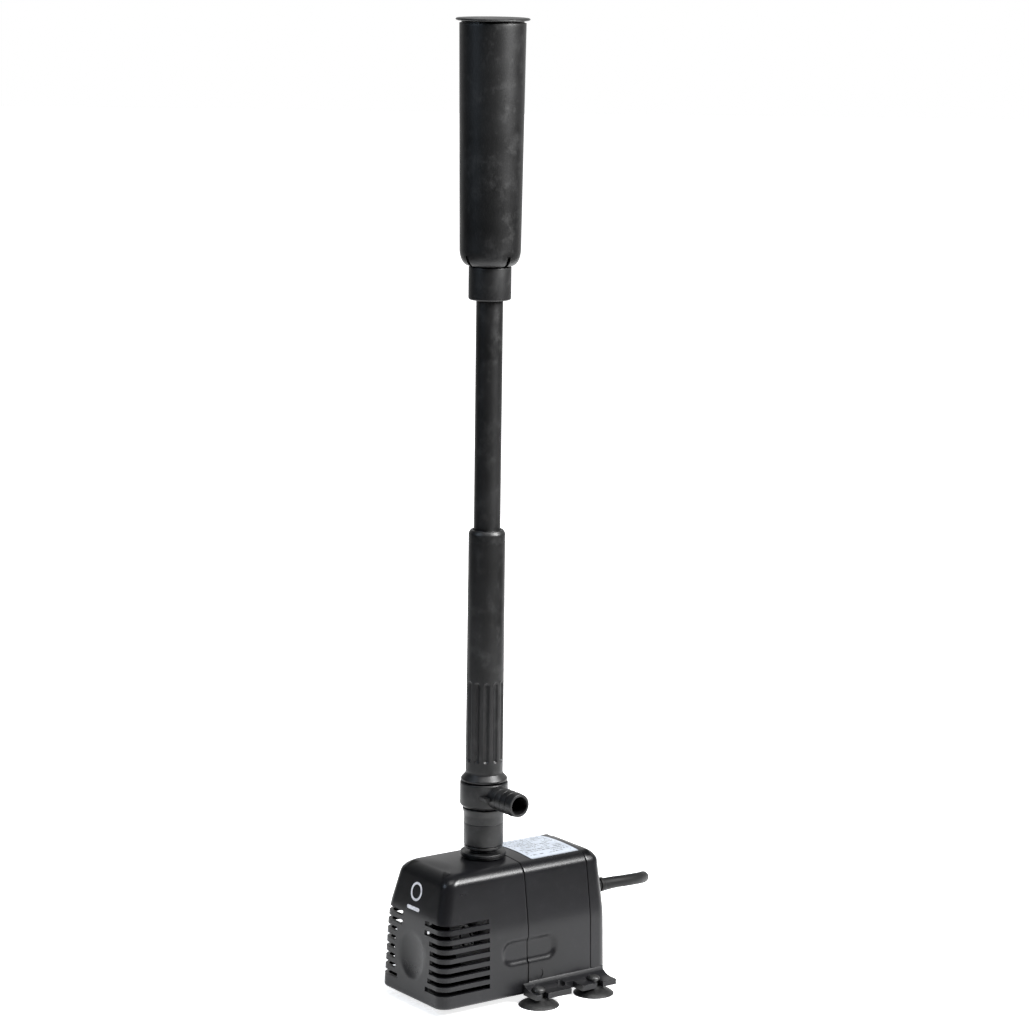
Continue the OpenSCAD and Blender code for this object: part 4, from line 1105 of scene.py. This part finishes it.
def softbox(name, azimuth, elevation, distance, width, height, power, color=(1, 1, 1), aim=(0, 0, 0.3)):
    """A rectangular light facing the object, at an azimuth and elevation in degrees."""
    data = bpy.data.lights.new(name, "AREA")
    data.shape = "RECTANGLE"
    data.size = width
    data.size_y = height
    data.energy = power
    data.color = color
    a, e = radians(azimuth), radians(elevation)
    back = Vector((sin(a) * cos(e), -cos(a) * cos(e), sin(e)))
    lamp = bpy.data.objects.new(name, data)
    lamp.location = Vector(aim) + back * distance
    lamp.rotation_euler = back.to_track_quat("Z", "Y").to_euler()
    bpy.context.collection.objects.link(lamp)


def studio():
    """A bright white surround for the view, and a dimmer one for light and reflections."""
    world = bpy.data.worlds.new("studio")
    bpy.context.scene.world = world
    world.use_nodes = True
    tree = world.node_tree
    tree.nodes.clear()
    out = tree.nodes.new("ShaderNodeOutputWorld")
    mix = tree.nodes.new("ShaderNodeMixShader")
    seen = tree.nodes.new("ShaderNodeLightPath")
    for slot in (1, 2):
        sky = tree.nodes.new("ShaderNodeBackground")
        sky.inputs["Color"].default_value = (1, 1, 1, 1)
        tree.links.new(sky.outputs[0], mix.inputs[slot])
    where = tree.nodes.new("ShaderNodeTexCoord")
    facing = tree.nodes.new("ShaderNodeVectorMath")
    facing.operation = "DOT_PRODUCT"
    facing.inputs[1].default_value = (-sin(AZIMUTH), cos(AZIMUTH), 0)
    tree.links.new(where.outputs["Generated"], facing.inputs[0])
    level = tree.nodes.new("ShaderNodeMapRange")
    for key, number in zip(("From Min", "From Max", "To Min", "To Max"), (0.35, 0.98, *SURROUND)):
        level.inputs[key].default_value = number
    tree.links.new(facing.outputs["Value"], level.inputs["Value"])
    tree.links.new(level.outputs["Result"], mix.inputs[1].links[0].from_node.inputs["Strength"])
    tree.links.new(seen.outputs["Is Camera Ray"], mix.inputs[0])
    tree.links.new(mix.outputs[0], out.inputs[0])


SURROUND = (0.05, 0.85)     # away from the view and behind the object
FLOOR_GLOW = (0.6, 0.95)    # painted light: the floor's glow to the left and to the right of the object
FAR_GLOW = 1.15             # well behind the object
floor()
studio()
softbox("key", 121, 36, 1.6, 0.6, 0.8, 84)
softbox("cool_side", -6, 30, 1.7, 0.4, 0.8, 9, (0.7, 0.83, 1.0))
softbox("top", 60, 72, 1.7, 0.8, 0.8, 14)
bpy.context.scene.view_settings.view_transform = "Standard"
